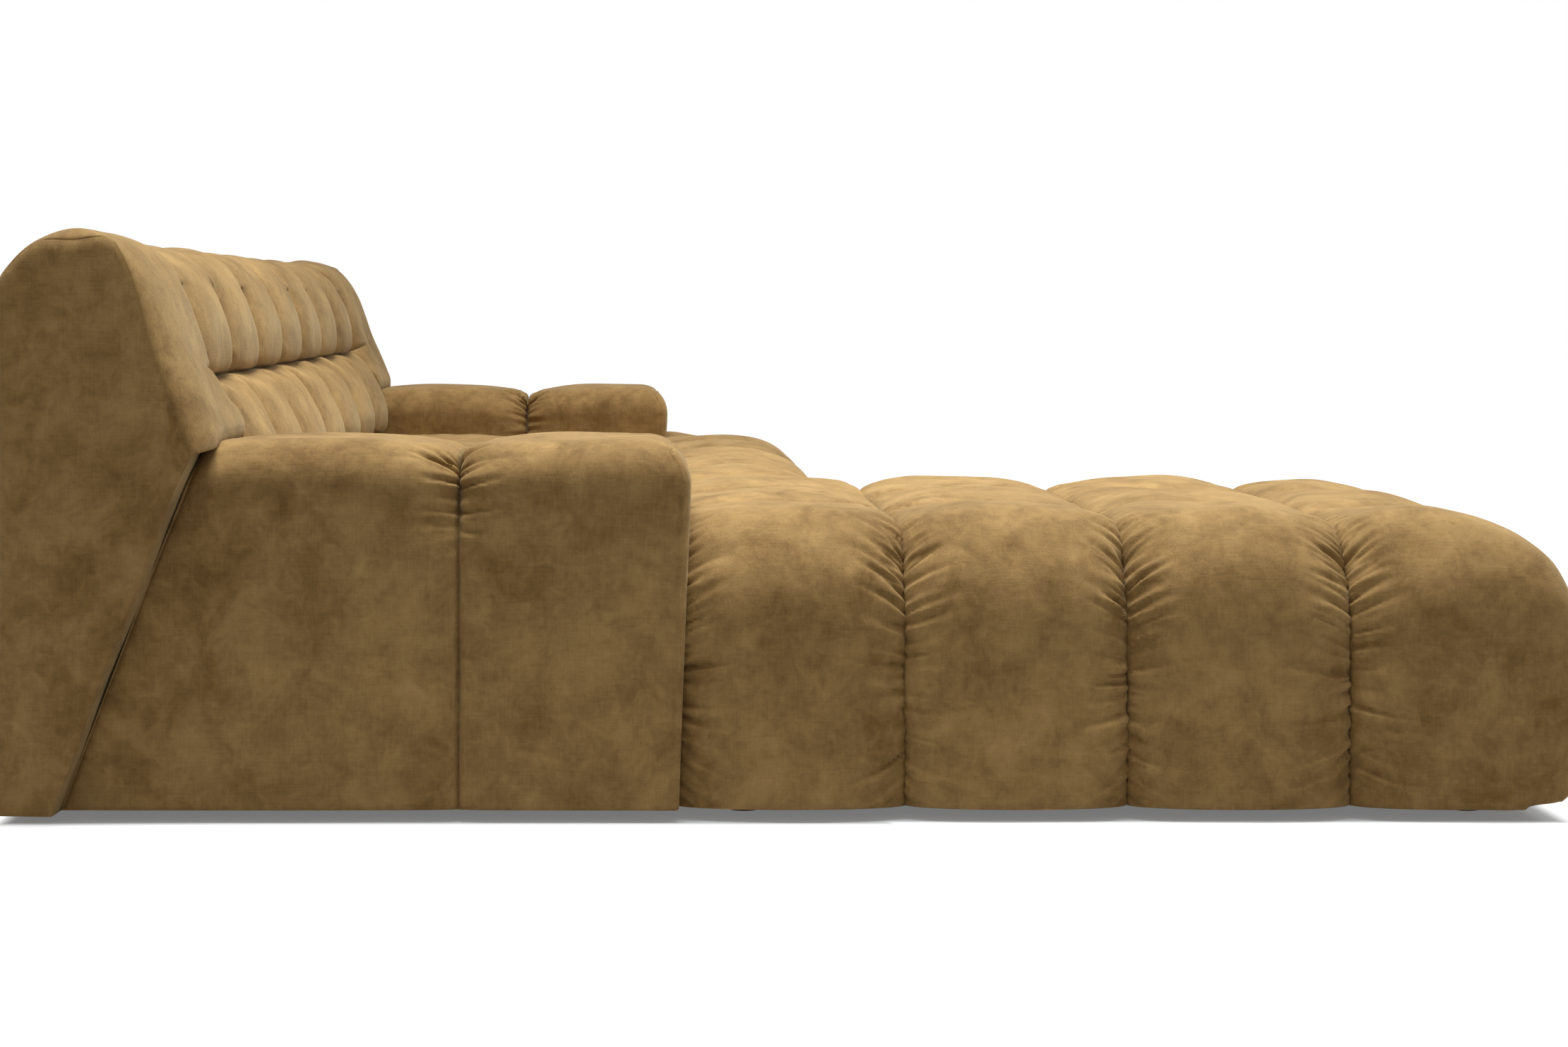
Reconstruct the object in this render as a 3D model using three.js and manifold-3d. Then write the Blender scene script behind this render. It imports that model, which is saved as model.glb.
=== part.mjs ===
// A tufted velvet lounge sofa: a main module and a chaise module, hooked together side by side.
// Each module is a timber base on plastic feet, with webbing, foam and a padded cover sewn into rows
// and columns, a ribbed back in a channelled cover, and an armrest. Bolts hold the arms and backs on.
// Millimetres, +Z up, with the floor at Z 0. The sofa faces -Y, and the chaise is on the -X side.
import * as THREE from "three";
import { mergeVertices } from "three/addons/utils/BufferGeometryUtils.js";
import Module from "manifold-3d";

const wasm = await Module();
wasm.setup();

// The sewn grid. A column is as wide as an armrest, and the front rows are cut a little shorter.
const columnPitch = 310;
const columnCount = 9;
const chaiseColumns = 3;
const rowPitch = 310;
const armRows = 2;
const mainFrontRows = 1;
const chaiseFrontRows = 4;
const frontRowTrim = 14;

// Heights from the floor, and how deep the back is where it meets the seat's grid
const seatHeight = 430;
const armHeight = 527;
const backHeight = 819;
const coverBottom = 15;
const backCushionDepth = 324;

// Clearances: between upholstered modules, round each frame piece and round a bolt's shank
const moduleGap = 0.8;
const fitGap = 0.3;
const boltGap = 0.5;
// How far a cutter runs past the face that it cuts, and how near corners are taken as one
const overrun = 2;
const weldDistance = 0.001;

// Seat padding: how far seams draw in, how edges are rounded, and how thick the padded cover is
const rowValley = 42;
const columnValley = 18;
const moduleJointValley = 30;
const armSideValley = 20;
const backSideValley = 30;
const seatSideRound = 150;
const seatFrontRound = 190;
const seatTopRound = 125;
const seatFootRound = 45;
const seatWall = 80;
const seatPadding = 95;
const flatWall = 40;

// Arm padding, and how far the front stands out past the grid and leans back towards its foot
const armValley = 24;
const armRearDrop = 11;
const armRound = 64;
const armFootRound = 14;
const armWall = 45;
const armPadding = 72;
const armNose = 14;
const armFrontLean = 20;

// Back padding, and how far the bolsters at its ends stand out past the arms
const bolsterProud = 35;
const bolsterEdge = 46;
const channelValley = 24;
const backRearWall = 25;
const backFrontWall = 55;
const bolsterWall = 50;

// Timber, plywood, webbing, dust cloth and feet
const railThickness = 25;
const railBottom = 40;
const railHeight = 190;
const plyThickness = 18;
const strapThickness = 3;
const strapWidth = 70;
const strapPitch = 280;
const dustThickness = 1;
const footRadius = 28;
const footBaseRadius = 23;
const footSetIn = 34;

// Where the grid lies: places across the sofa, and depths measured from the rear face
const sofaWidth = columnCount * columnPitch;
const armFrontDepth = backCushionDepth + armRows * rowPitch;
const chaiseDepth = armFrontDepth + chaiseFrontRows * rowPitch - frontRowTrim;
const mainDepth = armFrontDepth + mainFrontRows * rowPitch - frontRowTrim;
const columnX = (column) => column * columnPitch - sofaWidth / 2;
const fromRear = (depth) => chaiseDepth / 2 - depth;
const chaiseEndX = columnX(0);
const chaiseArmX = columnX(1);
const jointX = columnX(chaiseColumns);
const jointGap = moduleGap / 2;
const railTop = railBottom + railHeight;
const seatHollowTop = seatHeight - seatPadding;
const belowCovers = coverBottom - overrun;

const velvet = new THREE.MeshStandardMaterial({ color: 0x8a6c3e, roughness: 0.9, metalness: 0 });
const timber = new THREE.MeshStandardMaterial({ color: 0xc9a876, roughness: 0.7, metalness: 0 });
const plywood = new THREE.MeshStandardMaterial({ color: 0xd6b98a, roughness: 0.65, metalness: 0 });
const foam = new THREE.MeshStandardMaterial({ color: 0xe8e0c4, roughness: 0.95, metalness: 0 });
const strapping = new THREE.MeshStandardMaterial({ color: 0x4a4640, roughness: 0.9, metalness: 0 });
const dustCloth = new THREE.MeshStandardMaterial({ color: 0x1c1c1c, roughness: 1, metalness: 0 });
const footPlastic = new THREE.MeshStandardMaterial({ color: 0x111111, roughness: 0.5, metalness: 0 });
const steel = new THREE.MeshStandardMaterial({ color: 0x9a9da0, roughness: 0.35, metalness: 1 });

const root = new THREE.Group();
function add(name, geometry, material) {
  const mesh = new THREE.Mesh(geometry, material);
  mesh.name = name;
  root.add(mesh);
}

const clamp = (value, low, high) => Math.min(Math.max(value, low), high);
const mix = (a, b, share) => a + (b - a) * share;
const smooth = (share) => share * share * (3 - 2 * share);

// Shared corners merged, so that a geometry is one closed surface, with its faces turned outwards
function welded(geometry) {
  const bare = new THREE.BufferGeometry().setAttribute("position", geometry.getAttribute("position"));
  if (geometry.index) bare.setIndex(geometry.index);
  const merged = mergeVertices(bare, weldDistance);
  const at = merged.getAttribute("position");
  const corners = merged.index.array;
  const [a, b, c] = [new THREE.Vector3(), new THREE.Vector3(), new THREE.Vector3()];
  let volume = 0;
  for (let i = 0; i < corners.length; i += 3) {
    a.fromBufferAttribute(at, corners[i]);
    b.fromBufferAttribute(at, corners[i + 1]);
    c.fromBufferAttribute(at, corners[i + 2]);
    volume += a.dot(b.cross(c));
  }
  if (volume < 0) {
    for (let i = 0; i < corners.length; i += 3) {
      [corners[i + 1], corners[i + 2]] = [corners[i + 2], corners[i + 1]];
    }
  }
  return merged;
}

// A solid for cutting and joining, from any closed geometry, and back again
function solid(geometry) {
  const merged = welded(geometry);
  return new wasm.Manifold(
    new wasm.Mesh({
      numProp: 3,
      vertProperties: merged.getAttribute("position").array,
      triVerts: new Uint32Array(merged.index.array),
    }),
  );
}
function geometryOf(made) {
  const mesh = made.getMesh();
  return new THREE.BufferGeometry()
    .setAttribute("position", new THREE.BufferAttribute(mesh.vertProperties, 3))
    .setIndex(new THREE.BufferAttribute(mesh.triVerts, 1));
}
const cut = (body, ...cutters) => cutters.reduce((left, cutter) => left.subtract(cutter), body);
const join = (...bodies) => bodies.reduce((made, body) => made.add(body));

// A box between two places on each axis, its depths measured from the rear face
function box([x0, x1], [depth0, depth1], [z0, z1]) {
  const made = new THREE.BoxGeometry(x1 - x0, depth1 - depth0, z1 - z0);
  return made.translate((x0 + x1) / 2, fromRear((depth0 + depth1) / 2), (z0 + z1) / 2);
}

// A prism between two places across the sofa, whose section is a list of [depth, height]
function prism([x0, x1], section) {
  const shape = new THREE.Shape(section.map(([depth, height]) => new THREE.Vector2(depth, height)));
  const made = new THREE.ExtrudeGeometry(shape, { depth: x1 - x0, bevelEnabled: false });
  const turned = new THREE.Matrix4().makeBasis(
    new THREE.Vector3(0, -1, 0),
    new THREE.Vector3(0, 0, 1),
    new THREE.Vector3(-1, 0, 0),
  );
  return made.applyMatrix4(turned).translate(x1, fromRear(0), 0);
}

// The surface of a grid of cells, each corner put where place says
function gridShell(nx, ny, nz, place) {
  const positions = [];
  const index = [];
  const found = new Map();
  const corner = (i, j, k) => {
    const key = (i * (ny + 1) + j) * (nz + 1) + k;
    if (!found.has(key)) {
      found.set(key, positions.length / 3);
      positions.push(...place(i, j, k));
    }
    return found.get(key);
  };
  const quad = (a, b, c, d) => index.push(a, b, c, a, c, d);
  for (let i = 0; i < nx; i += 1) {
    for (let j = 0; j < ny; j += 1) {
      quad(corner(i, j, nz), corner(i + 1, j, nz), corner(i + 1, j + 1, nz), corner(i, j + 1, nz));
      quad(corner(i, j, 0), corner(i, j + 1, 0), corner(i + 1, j + 1, 0), corner(i + 1, j, 0));
    }
    for (let k = 0; k < nz; k += 1) {
      quad(corner(i, 0, k), corner(i + 1, 0, k), corner(i + 1, 0, k + 1), corner(i, 0, k + 1));
      quad(corner(i, ny, k), corner(i, ny, k + 1), corner(i + 1, ny, k + 1), corner(i + 1, ny, k));
    }
  }
  for (let j = 0; j < ny; j += 1) {
    for (let k = 0; k < nz; k += 1) {
      quad(corner(0, j, k), corner(0, j, k + 1), corner(0, j + 1, k + 1), corner(0, j + 1, k));
      quad(corner(nx, j, k), corner(nx, j + 1, k), corner(nx, j + 1, k + 1), corner(nx, j, k + 1));
    }
  }
  return new THREE.BufferGeometry()
    .setAttribute("position", new THREE.Float32BufferAttribute(positions, 3))
    .setIndex(index);
}

// How far a tuft has risen from its seam, from 0 to 1, at a share of the way across it
const tuftRise = (share, power) => (1 - Math.abs(2 * share - 1) ** power) ** (1 / power);

// Places along one axis at which a padded surface gets a corner, with how far it is drawn in there.
// Seams are in rising order. An end with a round is an open edge, which the last tuft runs over.
const edgeShares = [0, 0.3, 0.6, 1];
function stations({ seams, draws, startRound = 0, endRound = 0, power, tuftShares }) {
  const half = (tuftShares.length + 1) / 2;
  const found = seams.slice(0, -1).flatMap((seam, cell) => {
    const width = seams[cell + 1] - seam;
    const inner = tuftShares.map((share) => share * width);
    const first = cell === 0 && startRound > 0;
    const last = cell === seams.length - 2 && endRound > 0;
    const low = first ? edgeShares.map((share) => share * startRound) : inner.slice(0, half);
    const high = last ? edgeShares.map((share) => width - share * endRound).reverse() : inner.slice(half);
    return [...low, ...high].map((offset) => {
      const share = offset / width;
      const draw = draws[share < 1 / 2 ? cell : cell + 1];
      return { at: seam + offset, draw: draw * (1 - tuftRise(share, power)) };
    });
  });
  if (!endRound) found.push({ at: seams[seams.length - 1], draw: draws[draws.length - 1] });
  return found;
}

// A padded block with rounded edges, drawn in along the seams between its columns and its rows.
// Low down, edges turn more tightly and seams draw in less, as footShare says.
const planPower = 3.5;
function paddedBlock({ columns, rows, top, topRound, footRound, footShare, fadeHeight, warp }) {
  const xs = stations(columns);
  const ys = stations(rows);
  const zs = [
    ...edgeShares.map((share) => coverBottom + share * footRound),
    ...edgeShares.map((share) => top - share * topRound).reverse(),
  ];
  const span = ({ seams, startRound = 0, endRound = 0 }, at, up) => {
    const low = mix(Math.min(footRound, startRound), startRound, up);
    const high = mix(Math.min(footRound, endRound), endRound, up);
    const core = clamp(at, seams[0] + low, seams[seams.length - 1] - high);
    const round = at < core ? low : high;
    return { core, round, out: at === core ? 0 : (at - core) / round };
  };
  return gridShell(xs.length - 1, ys.length - 1, zs.length - 1, (i, j, k) => {
    const up = smooth((zs[k] - coverBottom) / (top - coverBottom));
    const across = span(columns, xs[i].at, up);
    const along = span(rows, ys[j].at, up);
    const level = clamp(zs[k], coverBottom + footRound, top - topRound);
    const round = zs[k] < level ? footRound : topRound;
    const rise = (zs[k] - level) / round;
    const flat = (Math.abs(across.out) ** planPower + Math.abs(along.out) ** planPower) ** (1 / planPower);
    const most = Math.max(Math.abs(across.out), Math.abs(along.out), Math.abs(rise));
    const scale = most > 0 ? most / Math.hypot(flat, rise) : 0;
    const outward = new THREE.Vector3(across.out, along.out, Math.max(rise, 0)).normalize();
    const fade = smooth(clamp((zs[k] - fadeHeight) / (top - topRound - fadeHeight), 0, 1));
    const draw = mix(footShare, 1, fade) * Math.hypot(xs[i].draw, ys[j].draw);
    return warp([
      across.core + across.round * across.out * scale - outward.x * draw,
      along.core + along.round * along.out * scale - outward.y * draw,
      level + round * rise * scale - outward.z * draw,
    ]);
  });
}

// The back's section, from the rear foot over the crown to the front foot. Each point is
// [depth, height, share of a channel seam's draw, share of an open end's round].
const backBendDrop = 74;
const backCornerDepth = 57;
const backCornerDrop = 18;
const crownDepth = 104;
const bellySetback = 12;
const bellyHeightShare = 0.283;
const waistSetback = 67;
const waistHeightShare = 0.325;
const bolsterWaistSetback = 57;
const channelSeatSetback = 12;
const channelSeatRise = 8;
const channelFootRoom = 64;
const bolsterSeatSetback = 36;
const bolsterFootRoom = 8;
const backBendHeight = backHeight - backBendDrop;
const backCornerHeight = backHeight - backCornerDrop;
const waistHeight = mix(armHeight, backHeight, waistHeightShare);
const channelSeatHeight = seatHeight + channelSeatRise;
const bellyHeight = mix(channelSeatHeight, waistHeight, bellyHeightShare);
const bolsterSeatHeight = armHeight - armRearDrop;
const bellyDepth = backCushionDepth - bellySetback;
const waistDepth = bellyDepth - waistSetback;
const bolsterWaistDepth = bellyDepth - bolsterWaistSetback;
const channelSeatDepth = bellyDepth - channelSeatSetback;
const channelFootDepth = backRearWall + channelFootRoom + backFrontWall;
const bolsterSeatDepth = bellyDepth - bolsterSeatSetback;
const bolsterFootDepth = backRearWall + bolsterFootRoom + bolsterWall;
const upperShares = [[0.43, 0.92], [0.67, 0.78], [0.86, 0.62], [1, 0.34], [1.1, 0.1]];
const lowerDepthShares = [0.5, 0.74, 0.9];
const channelLevelShares = [0.82, 0.63, 0.4];
const bolsterLevelShares = [0.775, 0.54, 0.253];
const bendShares = [0.4, 0.56];
const rearEdgeShare = 0.4;
const seatEdgeShare = 0.3;
const crownDrawShare = 0.7;
const waistDrawShare = 0.25;
const [bendDepthShare, bendHeightShare] = bendShares;
const shoulder = [
  [0, coverBottom, 0, rearEdgeShare],
  [0, backBendHeight, 0, rearEdgeShare],
  [
    mix(0, backCornerDepth, bendDepthShare),
    mix(backBendHeight, backCornerHeight, bendHeightShare),
    0,
    rearEdgeShare,
  ],
  [backCornerDepth, backCornerHeight, rearEdgeShare, rearEdgeShare],
  [crownDepth, backHeight, crownDrawShare, crownDrawShare],
  ...upperShares.map(([depthShare, heightShare]) => [
    mix(crownDepth, waistDepth, depthShare), mix(waistHeight, backHeight, heightShare), 1, 1,
  ]),
];
const lowerFront = (lowest, levelShares) => lowerDepthShares.map((depthShare, n) => [
  mix(waistDepth, bellyDepth, depthShare), mix(lowest, waistHeight, levelShares[n]), 1, 1,
]);
const channelSection = [
  ...shoulder,
  [waistDepth, waistHeight, waistDrawShare, 1],
  ...lowerFront(bellyHeight, channelLevelShares),
  [bellyDepth, bellyHeight, 1, 1],
  [channelSeatDepth, channelSeatHeight, 1, 1],
  [channelFootDepth, coverBottom, 0, 0],
];
const bolsterSection = [
  ...shoulder,
  [bolsterWaistDepth, waistHeight, 1, 1],
  ...lowerFront(bolsterSeatHeight, bolsterLevelShares),
  [bolsterSeatDepth, bolsterSeatHeight, seatEdgeShare, seatEdgeShare],
  [
    mix(bolsterSeatDepth, bolsterFootDepth, 1 / 2),
    mix(bolsterSeatHeight, coverBottom, 1 / 2),
    seatEdgeShare / 2,
    seatEdgeShare,
  ],
  [bolsterFootDepth, coverBottom, 0, 0],
];
const channelLean = (channelSeatDepth - channelFootDepth) / (channelSeatHeight - coverBottom);
const bolsterLean = (bolsterSeatDepth - bolsterFootDepth) / (bolsterSeatHeight - coverBottom);
const channelFace = (height) => channelFootDepth + (height - coverBottom) * channelLean;
const bolsterFace = (height) => bolsterFootDepth + (height - coverBottom) * bolsterLean;

// A section's points at one place across the back, drawn in by a seam and by an open end's round
function backRing(section, x, draw, endDraw) {
  return section.map(([depth, height, drawShare, endShare], n) => {
    const [backDepth, backLevel] = section[Math.max(n - 1, 0)];
    const [nextDepth, nextLevel] = section[Math.min(n + 1, section.length - 1)];
    const inward = new THREE.Vector2(nextLevel - backLevel, backDepth - nextDepth).normalize();
    const inset = draw * drawShare + endDraw * endShare;
    const level = height === coverBottom ? height : height + inward.y * inset;
    return new THREE.Vector3(x, fromRear(depth + inward.x * inset), level);
  });
}

// A closed skin over a row of rings with equally many points, with flat ends
function loft(rings) {
  const count = rings[0].length;
  const positions = rings.flat().flatMap((point) => point.toArray());
  const index = [];
  rings.slice(0, -1).forEach((_, ring) => {
    for (let n = 0; n < count; n += 1) {
      const [a, b] = [ring * count + n, ring * count + ((n + 1) % count)];
      index.push(a, b, b + count, a, b + count, a + count);
    }
  });
  [0, rings.length - 1].forEach((ring) => {
    const outline = rings[ring].map((point) => new THREE.Vector2(point.y, point.z));
    THREE.ShapeUtils.triangulateShape(outline, []).forEach((face) => {
      const corners = face.map((corner) => ring * count + corner);
      index.push(...(ring ? corners : corners.reverse()));
    });
  });
  return new THREE.BufferGeometry()
    .setAttribute("position", new THREE.Float32BufferAttribute(positions, 3))
    .setIndex(index);
}

// A module's padded back: a bolster at the sofa's side, then channels up to the modules' joint
const channelPower = 2.6;
const channelShares = [0, 0.08, 0.28, 0.72, 0.92];
const bolsterEdgeShares = [[0, 0.7], [0.2, 0.4], [0.55, 0.11], [1, 0]];
function backShell(columns) {
  const outerX = chaiseEndX - bolsterProud;
  const rings = bolsterEdgeShares.map(([widthShare, insetShare]) => (
    backRing(bolsterSection, outerX + bolsterEdge * widthShare, 0, bolsterEdge * insetShare)
  ));
  const ringAt = (section, column, share) => {
    const draw = channelValley * (1 - tuftRise(share, channelPower));
    rings.push(backRing(section, columnX(column + share), draw, 0));
  };
  channelShares.slice((channelShares.length + 1) / 2).forEach((share) => ringAt(bolsterSection, 0, share));
  rings.push(backRing(bolsterSection, chaiseArmX - moduleGap, channelValley, 0));
  rings.push(backRing(channelSection, chaiseArmX + moduleGap, channelValley, 0));
  for (let column = 1; column < columns; column += 1) {
    channelShares.slice(column === 1 ? 1 : 0).forEach((share) => ringAt(channelSection, column, share));
  }
  rings.push(backRing(channelSection, columnX(columns) - jointGap, channelValley, 0));
  return loft(rings);
}

// A back's hollow, in front of its rear wall, as [depth, height] from the crown down to the seat
const hollowBendDrop = 25;
const hollowCrownDrop = 57;
const hollowCornerReach = 13;
const hollowCrownReach = 31;
const hollowSeatRise = 14;
const hollowCornerDepth = backCornerDepth + hollowCornerReach;
const hollowCrownDepth = crownDepth + hollowCrownReach;
const hollowWaistDepth = waistDepth - backFrontWall;
const hollowSeatHeight = channelSeatHeight + hollowSeatRise;
const backHollowTop = backHeight - hollowCrownDrop;
const backHollowBend = backBendHeight - hollowBendDrop;
const hollowUpperShares = [0.75, 0.5];
const hollowLowerShares = [0.85, 0.5];
function hollowFront(face, wall) {
  const seatDepth = face(hollowSeatHeight) - wall;
  const [upperDepthShare, upperHeightShare] = hollowUpperShares;
  const [lowerDepthShare, lowerHeightShare] = hollowLowerShares;
  return [
    [hollowCrownDepth, backHollowTop],
    [
      mix(hollowCrownDepth, hollowWaistDepth, upperDepthShare),
      mix(waistHeight, backHollowTop, upperHeightShare),
    ],
    [hollowWaistDepth, waistHeight],
    [
      mix(hollowWaistDepth, seatDepth, lowerDepthShare),
      mix(hollowSeatHeight, waistHeight, lowerHeightShare),
    ],
    [seatDepth, hollowSeatHeight],
  ];
}
const hollowSection = (face, wall) => [
  [backRearWall, belowCovers],
  [backRearWall, backHollowBend],
  [hollowCornerDepth, backHollowTop],
  ...hollowFront(face, wall),
  [face(belowCovers) - wall, belowCovers],
];

// Ribs stand in the back's hollow, and their front line leaves the foam its room
const foamCrownThickness = 40;
const foamWaistThickness = 55;
const ribSeatSetback = 135;
const ribCrownDepth = hollowCrownDepth - foamCrownThickness;
const ribWaistDepth = hollowWaistDepth - foamWaistThickness;
const ribSeatDepth = channelSeatDepth - ribSeatSetback;
const ribSection = (face, wall) => [
  [backRearWall + fitGap, railBottom],
  [backRearWall + fitGap, backHollowBend],
  [hollowCornerDepth + fitGap, backHollowTop - fitGap],
  [ribCrownDepth, backHollowTop - fitGap],
  [ribWaistDepth, waistHeight],
  [ribSeatDepth, hollowSeatHeight],
  [face(railBottom) - wall - fitGap, railBottom],
];
const backFoamSection = [
  ...hollowFront(channelFace, backFrontWall).map(([depth, height]) => [depth - 2 * fitGap, height - fitGap]),
  [ribSeatDepth + fitGap, hollowSeatHeight - fitGap],
  [ribWaistDepth + fitGap, waistHeight],
  [ribCrownDepth + fitGap, backHollowTop - fitGap],
];

// A turned piece about Z, from its profile of [radius, height], which starts and ends on the axis
function turned(profile, sides) {
  return new THREE.LatheGeometry(profile.map(([radius, height]) => new THREE.Vector2(radius, height)), sides)
    .rotateX(Math.PI / 2);
}
const footSides = 16;
const footTop = railBottom - 2 * fitGap - dustThickness;
const footProfile = [[0, 0], [footBaseRadius, 0], [footRadius, footTop], [0, footTop]];

// A bolt along Z with the underside of its head at Z 0, and the hole that it goes through
const boltRadius = 5;
const boltHeadRadius = 10;
const boltHeadThickness = 7;
const boltSides = 12;
const boltTail = 10;
const boltLevel = 140;
const armBoltShares = [0.2, 0.8];
const backBoltShares = [0.22, 0.78];
const bolt = (length) => turned([
  [0, -length],
  [boltRadius, -length],
  [boltRadius, 0],
  [boltHeadRadius, 0],
  [boltHeadRadius, boltHeadThickness],
  [0, boltHeadThickness],
], boltSides);
const boltHole = (length) => turned([
  [0, -length - overrun],
  [boltRadius + boltGap, -length - overrun],
  [boltRadius + boltGap, overrun],
  [0, overrun],
], boltSides);

// Where the arm's faces lie at a height: its rear follows the bolster, and its front leans
const armRearAt = (height) => bolsterFace(height) + moduleGap;
const armFrontSlope = armFrontLean / (armHeight - coverBottom);
const armFrontAt = (height) => armFrontDepth + armNose - (armHeight - height) * armFrontSlope;
const armHollowTop = armHeight - armPadding;
const armHollowFront = armFrontAt(belowCovers) - armWall;
const armHollowX = [chaiseEndX + armWall, chaiseArmX - armWall];
const armBoardBand = (x, [low, high]) => prism(x, [
  [armRearAt(low) + armWall + fitGap, low],
  [armRearAt(high) + armWall + fitGap, high],
  [armHollowFront - fitGap, high],
  [armHollowFront - fitGap, low],
]);

// The arm's padding is in two segments, and its seams draw in tightly below the top
const armTuftPower = 6;
const armTuftShares = [0, 0.06, 0.16, 0.84, 0.94];
const armFootShare = 0.12;
const armFadeDrop = 150;
function armShell() {
  const seam = fromRear(armFrontDepth - rowPitch);
  const front = fromRear(armFrontDepth + armNose);
  const rear = fromRear(armRearAt(armHeight));
  const padding = { power: armTuftPower, tuftShares: armTuftShares };
  return paddedBlock({
    columns: {
      seams: [chaiseEndX, chaiseArmX], draws: [0, 0], startRound: armRound, endRound: armRound, ...padding,
    },
    rows: { seams: [front, seam, rear], draws: [0, armValley, armRearDrop], startRound: armRound, ...padding },
    top: armHeight,
    topRound: armRound,
    footRound: armFootRound,
    footShare: armFootShare,
    fadeHeight: armHeight - armFadeDrop,
    warp: ([x, y, z]) => {
      if (y > seam) {
        return [x, seam + ((y - seam) * (fromRear(armRearAt(z)) - seam)) / (rear - seam), z];
      }
      return [x, y + ((armHeight - z) * armFrontSlope * (seam - y)) / (seam - front), z];
    },
  });
}

// The seat's padding: front rows as wide as the module, and rear rows between the arm and the joint.
// Rows in front of the other module have an open edge at the joint too.
const seatTuftPower = 2.4;
const rowTuftShares = [0, 0.1, 0.3, 0.7, 0.9];
const columnTuftShares = [0, 0.25, 0.75];
const seatFootShare = 0.55;
const seatRearAt = (height) => channelFace(height) + moduleGap;
const repeated = (count, value) => Array.from({ length: count }, () => value);
function seatShell(columns, frontRows, openRows) {
  const padded = {
    top: seatHeight,
    topRound: seatTopRound,
    footRound: seatFootRound,
    footShare: seatFootShare,
    fadeHeight: coverBottom,
  };
  const rowPadding = { power: seatTuftPower, tuftShares: rowTuftShares };
  const columnPadding = { power: seatTuftPower, tuftShares: columnTuftShares };
  const across = (first) => {
    const seams = Array.from({ length: columns - first + 1 }, (_, n) => columnX(first + n));
    seams[seams.length - 1] -= jointGap;
    return seams;
  };
  const frontBlock = (firstRow, lastRow, isOpen) => {
    const atFront = lastRow === frontRows;
    const seams = Array.from({ length: lastRow - firstRow + 1 }, (_, n) => (
      fromRear(armFrontDepth + (lastRow - n) * rowPitch)
    ));
    seams[0] += atFront ? frontRowTrim : -overrun;
    return solid(paddedBlock({
      ...padded,
      columns: {
        seams: across(0),
        draws: [0, ...repeated(columns - 1, columnValley), isOpen ? 0 : moduleJointValley],
        startRound: seatSideRound,
        endRound: isOpen ? seatSideRound : 0,
        ...columnPadding,
      },
      rows: {
        seams,
        draws: [atFront ? 0 : rowValley, ...repeated(lastRow - firstRow, rowValley)],
        startRound: atFront ? seatFrontRound : 0,
        ...rowPadding,
      },
      warp: (point) => point,
    }));
  };
  const closedRows = frontRows - openRows;
  const front = frontBlock(0, closedRows, false);
  const rearSeams = across(1);
  rearSeams[0] += moduleGap;
  const lastSeam = fromRear(armFrontDepth - (armRows - 1) * rowPitch);
  const rearEnd = fromRear(seatRearAt(seatHeight));
  const rear = solid(paddedBlock({
    ...padded,
    columns: {
      seams: rearSeams,
      draws: [armSideValley, ...repeated(columns - 2, columnValley), moduleJointValley],
      ...columnPadding,
    },
    rows: {
      seams: [
        fromRear(armFrontDepth + overrun),
        ...Array.from({ length: armRows - 1 }, (_, row) => fromRear(armFrontDepth - (row + 1) * rowPitch)),
        rearEnd,
      ],
      draws: [...repeated(armRows, rowValley), backSideValley],
      ...rowPadding,
    },
    warp: ([x, y, z]) => {
      if (y <= lastSeam) return [x, y, z];
      const stretch = (fromRear(seatRearAt(z)) - lastSeam) / (rearEnd - lastSeam);
      return [x, lastSeam + (y - lastSeam) * stretch, z];
    },
  }));
  const armRoom = solid(prism([chaiseEndX - overrun, chaiseArmX + moduleGap], [
    [armFrontDepth - armFrontLean, 0],
    [armFrontDepth - armFrontLean, armHeight],
    [armFrontAt(armHeight) + moduleGap, armHeight],
    [armFrontAt(0) + moduleGap, 0],
  ]));
  const blocks = openRows ? [front, frontBlock(closedRows, frontRows, true), rear] : [front, rear];
  return join(...blocks).subtract(armRoom);
}

// The hook that holds the modules together: a stepped strap under one rail, in a slot under the other
const hookThickness = 4;
const hookWidth = 60;
const hookSlotReach = 30;
const keeperReach = 55;
const keeperMargin = 15;
const hookDepth = armFrontDepth - rowPitch / 2;
const hookSpan = [hookDepth - hookWidth / 2, hookDepth + hookWidth / 2];
const hookTop = footTop;
const strapTop = hookTop - hookThickness - fitGap;
const widened = ([low, high], margin) => [low - margin, high + margin];

// Straps of equal width, evenly spaced from one place to another
function lanes(from, to) {
  const spaces = Math.max(1, Math.round((to - from - strapWidth) / strapPitch));
  return Array.from({ length: spaces + 1 }, (_, n) => mix(from, to - strapWidth, n / spaces))
    .map((start) => [start, start + strapWidth]);
}

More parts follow.
